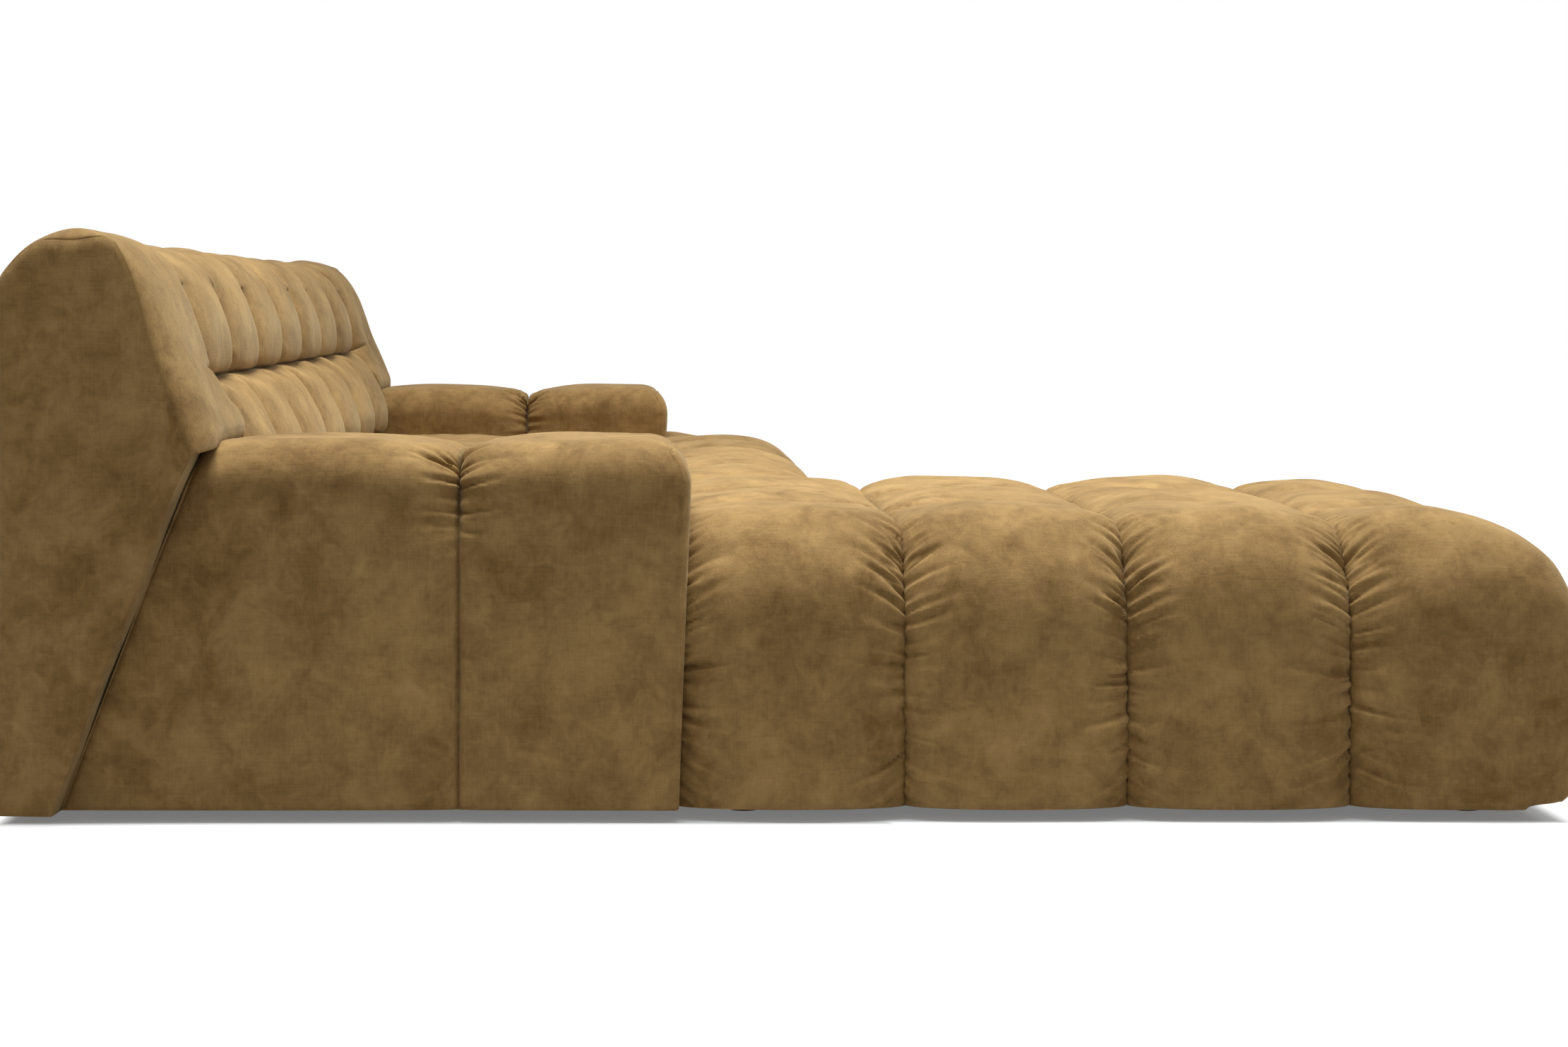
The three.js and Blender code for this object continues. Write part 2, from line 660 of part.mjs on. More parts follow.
// A flat plate over the filled cells of a grid, whose lines are places across the sofa and depths
function cellPlate(linesX, linesDepth, [low, high], filled) {
  const [nx, ny] = [linesX.length - 1, linesDepth.length - 1];
  const is = (i, j) => i >= 0 && j >= 0 && i < nx && j < ny && filled(i, j);
  const positions = [];
  const corner = (i, j, z) => [linesX[i], fromRear(linesDepth[j]), z];
  const quad = (a, b, c, d) => positions.push(...a, ...b, ...c, ...a, ...c, ...d);
  for (let i = 0; i < nx; i += 1) {
    for (let j = 0; j < ny; j += 1) {
      if (!is(i, j)) continue;
      const plan = [[i, j + 1], [i + 1, j + 1], [i + 1, j], [i, j]];
      quad(...plan.map((at) => corner(...at, high)));
      quad(...[...plan].reverse().map((at) => corner(...at, low)));
      const beside = [[i, j + 1], [i + 1, j], [i, j - 1], [i - 1, j]];
      beside.forEach((cell, side) => {
        if (is(...cell)) return;
        const [from, to] = [plan[side], plan[(side + 1) % plan.length]];
        quad(corner(...from, low), corner(...to, low), corner(...to, high), corner(...from, high));
      });
    }
  }
  return new THREE.BufferGeometry()
    .setAttribute("position", new THREE.Float32BufferAttribute(positions, 3));
}

// A mat of crossing straps over an L-shaped seat, which is narrower behind its step
function strapMat([outerX, sideX, lastX], [rearEnd, step, frontEnd], levels) {
  const lanesX = [...lanes(outerX, sideX + strapWidth).slice(0, -1), ...lanes(sideX, lastX)];
  const lanesDepth = [...lanes(rearEnd, step + strapWidth).slice(0, -1), ...lanes(step, frontEnd)];
  const [linesX, linesDepth] = [lanesX.flat(), lanesDepth.flat()];
  return cellPlate(linesX, linesDepth, levels, (i, j) => {
    const onStrap = i % 2 === 0 || j % 2 === 0;
    return onStrap && (linesX[i] >= sideX || linesDepth[j] >= step);
  });
}

// One module, drawn with its arm at its -X end, and mirrored where the arm is at the other end
const railSlope = Math.hypot(1, channelLean);
const topRailDrop = 80;
const topRailHeight = 60;
const baseRailHeight = 90;
function buildModule({ name, columns, frontRows, openRows, frontDepth, ribShares, footPlaces, mirror }) {
  const put = (piece, made, material) => {
    add(`${name}_${piece}`, geometryOf(mirror ? made.mirror([1, 0, 0]) : made), material);
  };
  const endX = chaiseEndX + seatWall;
  const armX = chaiseArmX + moduleGap + flatWall;
  const innerX = columnX(columns) - jointGap - (openRows ? seatWall : flatWall);
  const backEndX = columnX(columns) - jointGap - flatWall;
  const stepDepth = armFrontAt(armHeight) + moduleGap + flatWall;
  const hollowDepth = frontDepth - seatWall;
  const hollowRearAt = (height) => seatRearAt(height) + flatWall;
  const room = (x, levels, gap) => prism(x, [
    ...levels.map((height) => [hollowRearAt(height) + gap * railSlope, height]),
    ...[...levels].reverse().map((height) => [stepDepth + overrun, height]),
  ]);
  const layer = (low, high, gap) => join(
    solid(box([endX + gap, innerX - gap], [stepDepth + gap, hollowDepth - gap], [low, high])),
    solid(room([armX + gap, innerX - gap], [low, high], gap)),
  );

  // Bolt holes: through the arm's rail into its inner board, and through the rear rail into the back
  const armRailX = [armX + fitGap, armX + fitGap + railThickness];
  const armBoltLength = armRailX[1] + fitGap - (armHollowX[1] - fitGap - plyThickness) + boltTail;
  const armBolts = armBoltShares.map((share) => {
    const depth = mix(armRearAt(boltLevel) + armWall, armHollowFront, share);
    return (made) => solid(
      made.rotateY(Math.PI / 2).translate(armRailX[1] + fitGap, fromRear(depth), boltLevel),
    );
  });
  const rearRailDepth = railThickness * railSlope;
  const rearFace = (height) => hollowRearAt(height) + fitGap * railSlope + rearRailDepth;
  const backBoltReach = rearFace(boltLevel) + fitGap * railSlope
    - (channelFace(boltLevel) - backFrontWall - fitGap * railSlope - rearRailDepth);
  const backBoltLength = backBoltReach / railSlope + boltTail;
  const backBolts = backBoltShares.map((share) => (made) => solid(
    made.rotateX(Math.PI / 2 + Math.atan(channelLean)).translate(
      mix(armX, innerX, share),
      fromRear(rearFace(boltLevel) + fitGap / railSlope),
      boltLevel - (fitGap * channelLean) / railSlope,
    ),
  ));
  const armHoles = armBolts.map((place) => place(boltHole(armBoltLength)));
  const backHoles = backBolts.map((place) => place(boltHole(backBoltLength)));

  // Covers: the seat, hollow and open below, with a notch for the hook, then the back and the arm
  const hookNotch = solid(box(
    [innerX - overrun, columnX(columns) + overrun],
    widened(hookSpan, overrun),
    [belowCovers, railBottom],
  ));
  put("seat_cover", cut(
    seatShell(columns, frontRows, openRows),
    layer(belowCovers, seatHollowTop, 0),
    hookNotch,
    ...armHoles,
    ...backHoles,
  ), velvet);
  const bolsterHollow = solid(prism([chaiseEndX, backEndX], hollowSection(bolsterFace, bolsterWall)));
  const channelStart = chaiseArmX + flatWall;
  const channelHollow = solid(prism([channelStart, backEndX], hollowSection(channelFace, backFrontWall)));
  put("back_cover", cut(solid(backShell(columns)), bolsterHollow, channelHollow, ...backHoles), velvet);
  const armHollow = prism(armHollowX, [
    [armRearAt(belowCovers) + armWall, belowCovers],
    [armRearAt(armHollowTop) + armWall, armHollowTop],
    [armHollowFront, armHollowTop],
    [armHollowFront, belowCovers],
  ]);
  put("arm_cover", cut(solid(armShell()), solid(armHollow), ...armHoles), velvet);

  // The seat's foam on webbing, on timber rails
  const strapBottom = railTop + fitGap;
  const foamBottom = strapBottom + strapThickness + fitGap;
  put("seat_foam", layer(foamBottom, seatHollowTop - fitGap, fitGap), foam);
  const strapLevels = [strapBottom, strapBottom + strapThickness];
  const rearStart = hollowRearAt(strapLevels[1]) + fitGap * railSlope;
  const [outerX, sideX, lastX] = [endX + fitGap, armX + fitGap, innerX - fitGap];
  const [stepStart, frontEnd] = [stepDepth + fitGap, hollowDepth - fitGap];
  put("seat_webbing", solid(strapMat(
    [outerX, sideX, lastX], [rearStart, stepStart, frontEnd], strapLevels,
  )), strapping);
  const railLevels = [railBottom, railTop];
  const joined = lastX - railThickness;
  const railX = [outerX, joined - fitGap];
  put("front_rail", solid(box(railX, [frontEnd - railThickness, frontEnd], railLevels)), timber);
  put("step_rail", solid(box(railX, [stepStart, stepStart + railThickness], railLevels)), timber);
  put("side_rail", solid(box(
    [outerX, outerX + railThickness],
    [stepStart + railThickness + fitGap, frontEnd - railThickness - fitGap],
    railLevels,
  )), timber);
  put("rear_rail", cut(solid(prism([sideX, lastX], [
    [hollowRearAt(railBottom) + fitGap * railSlope, railBottom],
    [hollowRearAt(railTop) + fitGap * railSlope, railTop],
    [rearFace(railTop), railTop],
    [rearFace(railBottom), railBottom],
  ])), ...backHoles), timber);
  const lengthwise = (x, end) => solid(prism(x, [
    [rearFace(railBottom) + fitGap * railSlope, railBottom],
    [rearFace(railTop) + fitGap * railSlope, railTop],
    [end, railTop],
    [end, railBottom],
  ]));
  put("arm_rail", cut(lengthwise(armRailX, stepDepth), ...armHoles), timber);
  put("joint_rail", lengthwise([joined, lastX], frontEnd), timber);

  // The dust cloth under the rails, and the feet below it
  put("dust_cloth", layer(footTop + fitGap, railBottom - fitGap, fitGap), dustCloth);
  const rearFootDepth = hollowRearAt(footTop) + footSetIn;
  const feet = {
    front_outer: [endX + footSetIn, hollowDepth - footSetIn],
    front_joint: [innerX - footSetIn, hollowDepth - footSetIn],
    rear_arm: [armX + footSetIn, rearFootDepth],
    rear_joint: [innerX - footSetIn, rearFootDepth],
    step_outer: [endX + footSetIn, stepDepth + footSetIn],
  };
  footPlaces.forEach((place) => {
    const [x, depth] = feet[place];
    put(`foot_${place}`, solid(turned(footProfile, footSides).translate(x, fromRear(depth), 0)), footPlastic);
  });

  // The back's ribs, notched for its rails, and its foam
  const topRailTop = backHollowBend - topRailDrop + topRailHeight;
  const topRailLevels = [topRailTop - topRailHeight, topRailTop];
  const topRailDepths = [backRearWall + fitGap, backRearWall + fitGap + railThickness];
  const backX = [chaiseEndX + fitGap, backEndX - fitGap];
  const channelX = [channelStart + fitGap, backEndX - fitGap];
  const baseRailRise = (backBoltReach * channelLean) / railSlope ** 2 - baseRailHeight / 2;
  const baseRailLevels = [boltLevel + baseRailRise, boltLevel + baseRailRise + baseRailHeight];
  const baseFront = (height) => channelFace(height) - backFrontWall - fitGap * railSlope;
  const baseRail = (x, gap) => solid(prism(x, [
    [baseFront(baseRailLevels[0] - gap) + gap * railSlope, baseRailLevels[0] - gap],
    [baseFront(baseRailLevels[1] + gap) + gap * railSlope, baseRailLevels[1] + gap],
    [baseFront(baseRailLevels[1] + gap) - rearRailDepth - gap * railSlope, baseRailLevels[1] + gap],
    [baseFront(baseRailLevels[0] - gap) - rearRailDepth - gap * railSlope, baseRailLevels[0] - gap],
  ]));
  put("back_top_rail", solid(box(backX, topRailDepths, topRailLevels)), timber);
  put("back_base_rail", cut(baseRail(channelX, 0), ...backHoles), timber);
  const topNotch = solid(box(
    widened(backX, overrun),
    [topRailDepths[0] - overrun, topRailDepths[1] + fitGap],
    widened(topRailLevels, fitGap),
  ));
  const baseNotch = baseRail(widened(channelX, overrun), fitGap);
  ribShares.forEach((share, n) => {
    const inBolster = n === 0;
    const x0 = inBolster
      ? mix(chaiseEndX, chaiseArmX, share)
      : mix(channelX[0], channelX[1] - plyThickness, share);
    const section = inBolster
      ? ribSection(bolsterFace, bolsterWall)
      : ribSection(channelFace, backFrontWall);
    const rib = cut(solid(prism([x0, x0 + plyThickness], section)), topNotch, ...(inBolster ? [] : [baseNotch]));
    put(inBolster ? "bolster_rib" : `back_rib_${n}`, rib, plywood);
  });
  put("back_foam", solid(prism(channelX, backFoamSection)), foam);

  // The arm's boards, and the bolts
  const [outerBoardX, innerBoardX] = [armHollowX[0] + fitGap, armHollowX[1] - fitGap - plyThickness];
  const boardTop = armHollowTop - fitGap;
  const boardLevels = [railBottom, boardTop];
  put("arm_outer_board", solid(armBoardBand([outerBoardX, outerBoardX + plyThickness], boardLevels)), plywood);
  put("arm_inner_board", cut(
    solid(armBoardBand([innerBoardX, innerBoardX + plyThickness], boardLevels)), ...armHoles,
  ), plywood);
  put("arm_top_board", solid(armBoardBand(
    [outerBoardX + plyThickness + fitGap, innerBoardX - fitGap],
    [boardTop - plyThickness, boardTop],
  )), plywood);
  armBolts.forEach((place, n) => put(`arm_bolt_${n + 1}`, place(bolt(armBoltLength)), steel));
  backBolts.forEach((place, n) => put(`back_bolt_${n + 1}`, place(bolt(backBoltLength)), steel));
}

buildModule({
  name: "chaise",
  columns: chaiseColumns,
  frontRows: chaiseFrontRows,
  openRows: chaiseFrontRows - mainFrontRows,
  frontDepth: chaiseDepth,
  ribShares: [0.4, 1],
  footPlaces: ["front_outer", "front_joint", "step_outer", "rear_arm", "rear_joint"],
  mirror: false,
});
buildModule({
  name: "main",
  columns: columnCount - chaiseColumns,
  frontRows: mainFrontRows,
  openRows: 0,
  frontDepth: mainDepth,
  ribShares: [0.4, 0.5, 1],
  footPlaces: ["front_outer", "front_joint", "rear_arm", "rear_joint"],
  mirror: true,
});

// The hook under the chaise's rail, and the slotted keeper under the main module's rail
const hookRootX = jointX - jointGap - seatWall;
const keeperRootX = jointX + jointGap + flatWall;
const hookStepX = hookRootX + hookThickness;
const hookLipX = keeperRootX + hookSlotReach;
const hookLevels = [hookTop - hookThickness, hookTop];
const strapLow = strapTop - hookThickness;
add("chaise_hook", geometryOf(join(
  solid(box([hookRootX - railThickness, hookStepX], hookSpan, hookLevels)),
  solid(box([hookRootX, hookStepX], hookSpan, [strapLow, hookTop])),
  solid(box([hookRootX, hookLipX], hookSpan, [strapLow, strapTop])),
  solid(box([hookLipX - hookThickness, hookLipX], hookSpan, [strapLow, hookTop])),
)), steel);
add("main_keeper", geometryOf(cut(
  solid(box(
    [keeperRootX + fitGap, keeperRootX + keeperReach],
    widened(hookSpan, keeperMargin),
    hookLevels,
  )),
  solid(box(
    [hookLipX - hookThickness - fitGap, hookLipX + fitGap],
    widened(hookSpan, fitGap),
    widened(hookLevels, overrun),
  )),
)), steel);

export default root;
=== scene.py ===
import math

import bmesh
import bpy
import numpy as np
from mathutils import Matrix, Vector


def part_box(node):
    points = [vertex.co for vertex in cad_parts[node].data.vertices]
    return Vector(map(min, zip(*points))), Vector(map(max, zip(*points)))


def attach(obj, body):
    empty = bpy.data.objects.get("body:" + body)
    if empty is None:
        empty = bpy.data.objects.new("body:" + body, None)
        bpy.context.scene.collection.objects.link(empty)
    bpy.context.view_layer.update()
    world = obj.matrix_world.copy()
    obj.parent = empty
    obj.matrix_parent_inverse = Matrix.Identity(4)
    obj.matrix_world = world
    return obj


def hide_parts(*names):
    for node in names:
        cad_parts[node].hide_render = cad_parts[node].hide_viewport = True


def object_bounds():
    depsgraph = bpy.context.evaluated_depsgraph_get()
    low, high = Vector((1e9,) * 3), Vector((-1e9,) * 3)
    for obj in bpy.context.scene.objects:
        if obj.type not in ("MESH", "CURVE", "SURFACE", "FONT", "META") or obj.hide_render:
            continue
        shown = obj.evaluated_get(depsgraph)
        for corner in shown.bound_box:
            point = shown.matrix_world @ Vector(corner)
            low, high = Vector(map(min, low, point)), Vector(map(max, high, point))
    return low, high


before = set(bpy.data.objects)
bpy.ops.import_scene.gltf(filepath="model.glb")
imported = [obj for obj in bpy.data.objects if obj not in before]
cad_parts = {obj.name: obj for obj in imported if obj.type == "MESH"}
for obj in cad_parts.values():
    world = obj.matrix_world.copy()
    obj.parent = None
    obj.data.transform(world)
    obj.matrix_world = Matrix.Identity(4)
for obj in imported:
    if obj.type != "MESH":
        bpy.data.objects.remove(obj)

cad_low, cad_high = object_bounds()

# The view: a long lens at sitting eye height, level, looking along the sofa from its chaise side.
# The sofa stands on a pale floor in soft light from above and in front.
# The floor's camera glow is dimmed under and just around the sofa's footprints: a painted contact shadow.
floor_half = 30
floor_grey = (0.45, 0.45, 0.45, 1)
white = (1, 1, 1, 1)
painted_shadow_glow, far_glow = 0.175, 0.83
painted_shadow_fade_start, painted_shadow_fade_end = -0.02, 0.01
footprints = (((0, 0.465), (1.41, 0.62)), ((-0.93, 0), (0.465, 1.085)))
room_light = 0.425
lamp_tint = (0.965, 1.02, 1.04)
top_lamp_spread = math.radians(55)

camera = bpy.data.objects.new("camera", bpy.data.cameras.new("camera"))
camera.data.lens = 62.74
camera.data.shift_x = 0.0975
camera.data.shift_y = -0.1387
camera.location = (-5.166, 0.212, 0.7136)
camera.rotation_euler = (math.pi / 2, 0, -math.pi / 2)
bpy.context.scene.collection.objects.link(camera)
bpy.context.scene.camera = camera
bpy.context.scene.view_settings.view_transform = "Standard"


def node(tree, kind, settings=(), **inputs):
    """A shader or geometry node, with its settings, and its inputs as values or as other sockets."""
    made = tree.nodes.new(kind)
    for name, value in dict(settings).items():
        setattr(made, name, value)
    for name, value in inputs.items():
        socket = made.inputs[int(name[1:])] if name[1:].isdigit() else made.inputs[name.replace("_", " ")]
        if isinstance(value, bpy.types.NodeSocket):
            tree.links.new(value, socket)
        else:
            socket.default_value = value
    return made


def maths(tree, operation, *values):
    """A number worked out from other numbers or sockets."""
    inputs = {f"_{n}": value for n, value in enumerate(values)}
    return node(tree, "ShaderNodeMath", {"operation": operation}, **inputs).outputs[0]


def place_in(tree):
    return node(tree, "ShaderNodeTexCoord").outputs["Object"]


def parts_of(tree, vector):
    return node(tree, "ShaderNodeSeparateXYZ", Vector=vector).outputs


def cleared(owner):
    """The emptied node tree of a material or a world."""
    owner.use_nodes = True
    owner.node_tree.nodes.clear()
    return owner.node_tree


def new_material(name):
    made = bpy.data.materials.new(name)
    return made, cleared(made)


def seen_as_white(tree, lit, pale):
    """Shows the camera, gloss and glass a pale shader, and other light the lit one."""
    path = node(tree, "ShaderNodeLightPath").outputs
    direct = maths(tree, "MAXIMUM", path["Is Camera Ray"], path["Is Glossy Ray"])
    seen = maths(tree, "MAXIMUM", direct, path["Is Transmission Ray"])
    return node(tree, "ShaderNodeMixShader", _0=seen, _1=lit, _2=pale).outputs[0]


def outside(tree, middle, half, coordinate):
    """How far a floor point lies outside a footprint, along one axis."""
    away = maths(tree, "ABSOLUTE", maths(tree, "SUBTRACT", coordinate, middle))
    return maths(tree, "SUBTRACT", away, half)


floor_mesh = bpy.data.meshes.new("floor")
floor_corners = [(x * floor_half, y * floor_half, 0) for x, y in ((-1, -1), (1, -1), (1, 1), (-1, 1))]
floor_mesh.from_pydata(floor_corners, [], [(0, 1, 2, 3)])
floor = bpy.data.objects.new("floor", floor_mesh)
bpy.context.scene.collection.objects.link(floor)
floor_paint, tree = new_material("pale_floor")
spot = parts_of(tree, place_in(tree))
past_each = [
    maths(tree, "MAXIMUM", *[outside(tree, middles[n], halves[n], spot[n]) for n in range(2)])
    for middles, halves in footprints
]
clear = maths(tree, "MINIMUM", *past_each)
# Painted shadow: the glow is low inside the footprints and rises to full white just outside them.
glow_with_painted_shadow = node(tree, "ShaderNodeMapRange", {"interpolation_type": "SMOOTHSTEP"}, Value=clear,
                  From_Min=painted_shadow_fade_start, From_Max=painted_shadow_fade_end, To_Min=painted_shadow_glow, To_Max=far_glow).outputs[0]
matt = node(tree, "ShaderNodeBsdfDiffuse", Color=floor_grey).outputs[0]
glow = node(tree, "ShaderNodeEmission", Color=white, Strength=glow_with_painted_shadow).outputs[0]
lifted = node(tree, "ShaderNodeAddShader", _0=matt, _1=glow).outputs[0]
node(tree, "ShaderNodeOutputMaterial", Surface=seen_as_white(tree, matt, lifted))
floor.data.materials.append(floor_paint)

world = bpy.data.worlds.new("studio")
bpy.context.scene.world = world
tree = cleared(world)
room = node(tree, "ShaderNodeBackground", Color=white, Strength=room_light).outputs[0]
backdrop = node(tree, "ShaderNodeBackground", Color=white, Strength=1).outputs[0]
node(tree, "ShaderNodeOutputWorld", Surface=seen_as_white(tree, room, backdrop))


def soft_lamp(name, place, target, size, power, spread=math.pi):
    """A large square lamp at a place, turned towards a target."""
    lamp = bpy.data.lights.new(name, "AREA")
    lamp.size = size
    lamp.energy = power
    lamp.spread = spread
    lamp.color = lamp_tint
    made = bpy.data.objects.new(name, lamp)
    made.location = place
    made.rotation_euler = (Vector(target) - Vector(place)).to_track_quat("-Z", "Y").to_euler()
    bpy.context.scene.collection.objects.link(made)


soft_lamp("top_lamp", (-0.6, 0, 5), (-0.6, 0, 0.4), size=3, power=74, spread=top_lamp_spread)
soft_lamp("key_lamp", (0.6, -4.6, 4.4), (0, 0.2, 0.5), size=2.6, power=110)

# The rails of each module's base and back: sawn pine boards, glued and screwed together at their ends.
# Their grain runs along each board, with darker late wood, fine fibres and a few knots.
pine_early = (0.62, 0.4, 0.19, 1)
pine_late = (0.41, 0.22, 0.08, 1)
pine_knot = (0.15, 0.065, 0.025, 1)
pine_rings = (1.2, 75)
pine_fibres = (14, 900)
pine_knots = (3, 9)
pine_relief = (0.5, 0.0006)
noise_range = (0.3, 0.7)
modules = ("chaise", "main")
axes = "xyz"
rails = ("front_rail", "step_rail", "side_rail", "rear_rail", "arm_rail", "joint_rail", "back_top_rail",
         "back_base_rail")


def drawn_out(tree, way, along, across):
    """Object coordinates, scaled so that a pattern is drawn out along one axis."""
    scales = [along if axis == way else across for axis in range(3)]
    return node(tree, "ShaderNodeMapping", Vector=place_in(tree), Scale=scales).outputs[0]


def noise_over(tree, vector, scale=1, detail=3, roughness=0.55, **more):
    return node(tree, "ShaderNodeTexNoise", Vector=vector, Scale=scale, Detail=detail,
                Roughness=roughness, **more).outputs["Fac"]


def cells_over(tree, vector, scale, output="Distance"):
    return node(tree, "ShaderNodeTexVoronoi", Vector=vector, Scale=scale).outputs[output]


def blend(tree, share, first, second):
    """A colour between two, each a colour or a socket."""
    return node(tree, "ShaderNodeMix", {"data_type": "RGBA"}, _0=share, _6=first, _7=second).outputs[2]


def between(tree, value, low, high, least=0.0, most=1.0):
    """A value spread from one range over another."""
    return node(tree, "ShaderNodeMapRange", Value=value, From_Min=low, From_Max=high,
                To_Min=least, To_Max=most).outputs[0]


def relief(tree, strength, distance, height, **more):
    return node(tree, "ShaderNodeBump", Strength=strength, Distance=distance, Height=height,
                **more).outputs[0]


def finish(tree, **inputs):
    """Ends a material with one lit surface."""
    surface = node(tree, "ShaderNodeBsdfPrincipled", **inputs)
    node(tree, "ShaderNodeOutputMaterial", Surface=surface.outputs[0])


def pine(way):
    made, tree = new_material(f"sawn_pine_{axes[way]}")
    rings = node(tree, "ShaderNodeTexWave", {"bands_direction": "DIAGONAL"},
                 Vector=drawn_out(tree, way, *pine_rings),
                 Scale=1.0, Distortion=5.0, Detail=2.0, Detail_Scale=0.6).outputs["Fac"]
    fibres = noise_over(tree, drawn_out(tree, way, *pine_fibres))
    knots = cells_over(tree, drawn_out(tree, way, *pine_knots), 1.0)
    grain = maths(tree, "MULTIPLY_ADD", fibres, 0.5, rings)
    board = blend(tree, between(tree, grain, 0.35, 1.3), pine_early, pine_late)
    finish(tree, Base_Color=blend(tree, between(tree, knots, 0.11, 0.06), board, pine_knot),
           Normal=relief(tree, *pine_relief, grain),
           Roughness=between(tree, fibres, *noise_range, 0.55, 0.8))
    return made


def finish_nodes(names, *materials):
    """Gives CAD nodes one finish, or the one for the axis of their grain, on their objects' own slots."""
    for name in names:
        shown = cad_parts[name]
        low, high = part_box(name)
        sizes = [high[n] - low[n] for n in range(3)]
        shown.material_slots[0].link = "OBJECT"
        longest = sizes.index(max(sizes)) if len(materials) > 1 else 0
        shown.material_slots[0].material = materials[longest]


pine_by_way = [pine(way) for way in range(3)]
finish_nodes([f"{module}_{rail}" for module in modules for rail in rails], *pine_by_way)

# The ribs of the backs and the boards of the arms: birch plywood, sawn to shape and screwed to the rails.
# Its faces show pale veneer, and its cut edges show the plies one over another.
birch_face = (0.68, 0.49, 0.27, 1)
birch_dark = (0.5, 0.32, 0.15, 1)
birch_figure = (2, 26)
birch_fibres = (18, 700)
birch_relief = (0.4, 0.0004)
ply_pair = 0.004
ply_edge_turn = (0.9, 0.6)
ply_contrast = 0.3


def ripple(tree, coordinate, length):
    """Waves of one length along a coordinate, from -1 to 1."""
    return maths(tree, "SINE", maths(tree, "MULTIPLY", coordinate, 2 * math.pi / length))


def plywood(thin, way):
    made, tree = new_material(f"birch_plywood_{axes[thin]}{axes[way]}")
    plies = ripple(tree, parts_of(tree, place_in(tree))[thin], ply_pair)
    facing = parts_of(tree, node(tree, "ShaderNodeNewGeometry").outputs["Normal"])[thin]
    on_edge = between(tree, maths(tree, "ABSOLUTE", facing), *ply_edge_turn)
    figure = noise_over(tree, drawn_out(tree, way, *birch_figure), 1, 4)
    fibres = noise_over(tree, drawn_out(tree, way, *birch_fibres))
    veneer_tone = maths(tree, "MULTIPLY_ADD", fibres, 0.4, figure)
    veneer = blend(tree, between(tree, veneer_tone, 0.5, 0.95), birch_face, birch_dark)
    edge_tone = maths(tree, "MULTIPLY", on_edge, between(tree, plies, -ply_contrast, ply_contrast))
    finish(tree, Base_Color=blend(tree, edge_tone, veneer, birch_dark),
           Normal=relief(tree, *birch_relief, fibres),
           Roughness=between(tree, figure, *noise_range, 0.45, 0.65))
    return made


rib_ply, board_ply, top_ply = plywood(0, 2), plywood(0, 1), plywood(2, 1)
finish_nodes([f"{module}_{rib}" for module in modules for rib in ("bolster_rib", "back_rib_1")], rib_ply)
finish_nodes(["main_back_rib_2"], rib_ply)
finish_nodes([f"{module}_arm_{side}_board" for module in modules for side in ("outer", "inner")], board_ply)
finish_nodes([f"{module}_arm_top_board" for module in modules], top_ply)

# The bolts that hold arms and backs to the base, and the hook and keeper that hold the modules together.
# They are steel, pressed or turned, then zinc-plated: a cool grey with a faint spangle and dull patches.
zinc_light = (0.6, 0.61, 0.64, 1)
zinc_dull = (0.42, 0.43, 0.46, 1)
zinc_spangle = 420
zinc_patches = 60
zinc_scratches = (90, 1600)
zinc_relief = (0.25, 0.0002)

zinc_steel, tree = new_material("zinc_plated_steel")
place = place_in(tree)
grain = parts_of(tree, cells_over(tree, place, zinc_spangle, "Color"))[0]
tone = maths(tree, "MULTIPLY_ADD", grain, 0.35, noise_over(tree, place, zinc_patches, 4))
scratches = noise_over(tree, drawn_out(tree, 0, *zinc_scratches))
finish(tree, Metallic=1.0, Base_Color=blend(tree, between(tree, tone, 0.35, 1.0), zinc_light, zinc_dull),
       Roughness=between(tree, tone, 0.3, 1.0, 0.28, 0.5), Normal=relief(tree, *zinc_relief, scratches))
bolts = [f"{module}_{kind}_bolt_{n}" for module in modules for kind in ("arm", "back") for n in (1, 2)]
finish_nodes([*bolts, "chaise_hook", "main_keeper"], zinc_steel)

# The feet: low round feet of black moulded plastic, screwed up into the rails, just clear of the covers.
# Moulding leaves them finely grained, and the floor scuffs them.
plastic_black = (0.0055, 0.0055, 0.006, 1)
plastic_scuffed = (0.02, 0.02, 0.021, 1)
plastic_grain = 1500
plastic_scuffs = 70
plastic_relief = (0.5, 0.0002)
foot_places = {"chaise": ("front_outer", "front_joint", "step_outer", "rear_arm", "rear_joint"),
               "main": ("front_outer", "front_joint", "rear_arm", "rear_joint")}

foot_plastic, tree = new_material("black_moulded_plastic")
place = place_in(tree)
grain = noise_over(tree, place, plastic_grain, 2)
scuffs = noise_over(tree, place, plastic_scuffs, 5, 0.65)
finish(tree, Base_Color=blend(tree, between(tree, scuffs, 0.5, 0.75), plastic_black, plastic_scuffed),
       Roughness=between(tree, scuffs, *noise_range, 0.42, 0.68), Normal=relief(tree, *plastic_relief, grain))
finish_nodes([f"{module}_foot_{place}" for module in modules for place in foot_places[module]], foot_plastic)

# The webbing: elastic belts woven over and under each other across the rails, under each seat's foam.
# Each belt is ribbed along its length, and is held at both ends by a row of wire staples.
belt_width = 0.07
belt_thickness = 0.0013
belt_lift = 0.0007
belt_pitch = 0.28
belt_segment = 0.012
belt_dark = (0.05, 0.044, 0.038, 1)
belt_pale = (0.13, 0.115, 0.1, 1)
belt_rib = 0.0026
belt_weft = 0.0016
belt_fuzz = 260
belt_relief = (0.6, 0.0005)
belt_line_place = 0.36
belt_line_half = 0.03
staple_crown = 0.01
staple_wire = 0.00045
staple_leg = 0.0012
staple_set_in = 0.012
staple_spacing = 0.013


def build_mesh(name, points, faces, edges=()):
    mesh = bpy.data.meshes.new(name)
    mesh.from_pydata([tuple(point) for point in points], edges, faces)
    mesh.update()
    made = bpy.data.objects.new(name, mesh)
    bpy.context.scene.collection.objects.link(made)
    return made


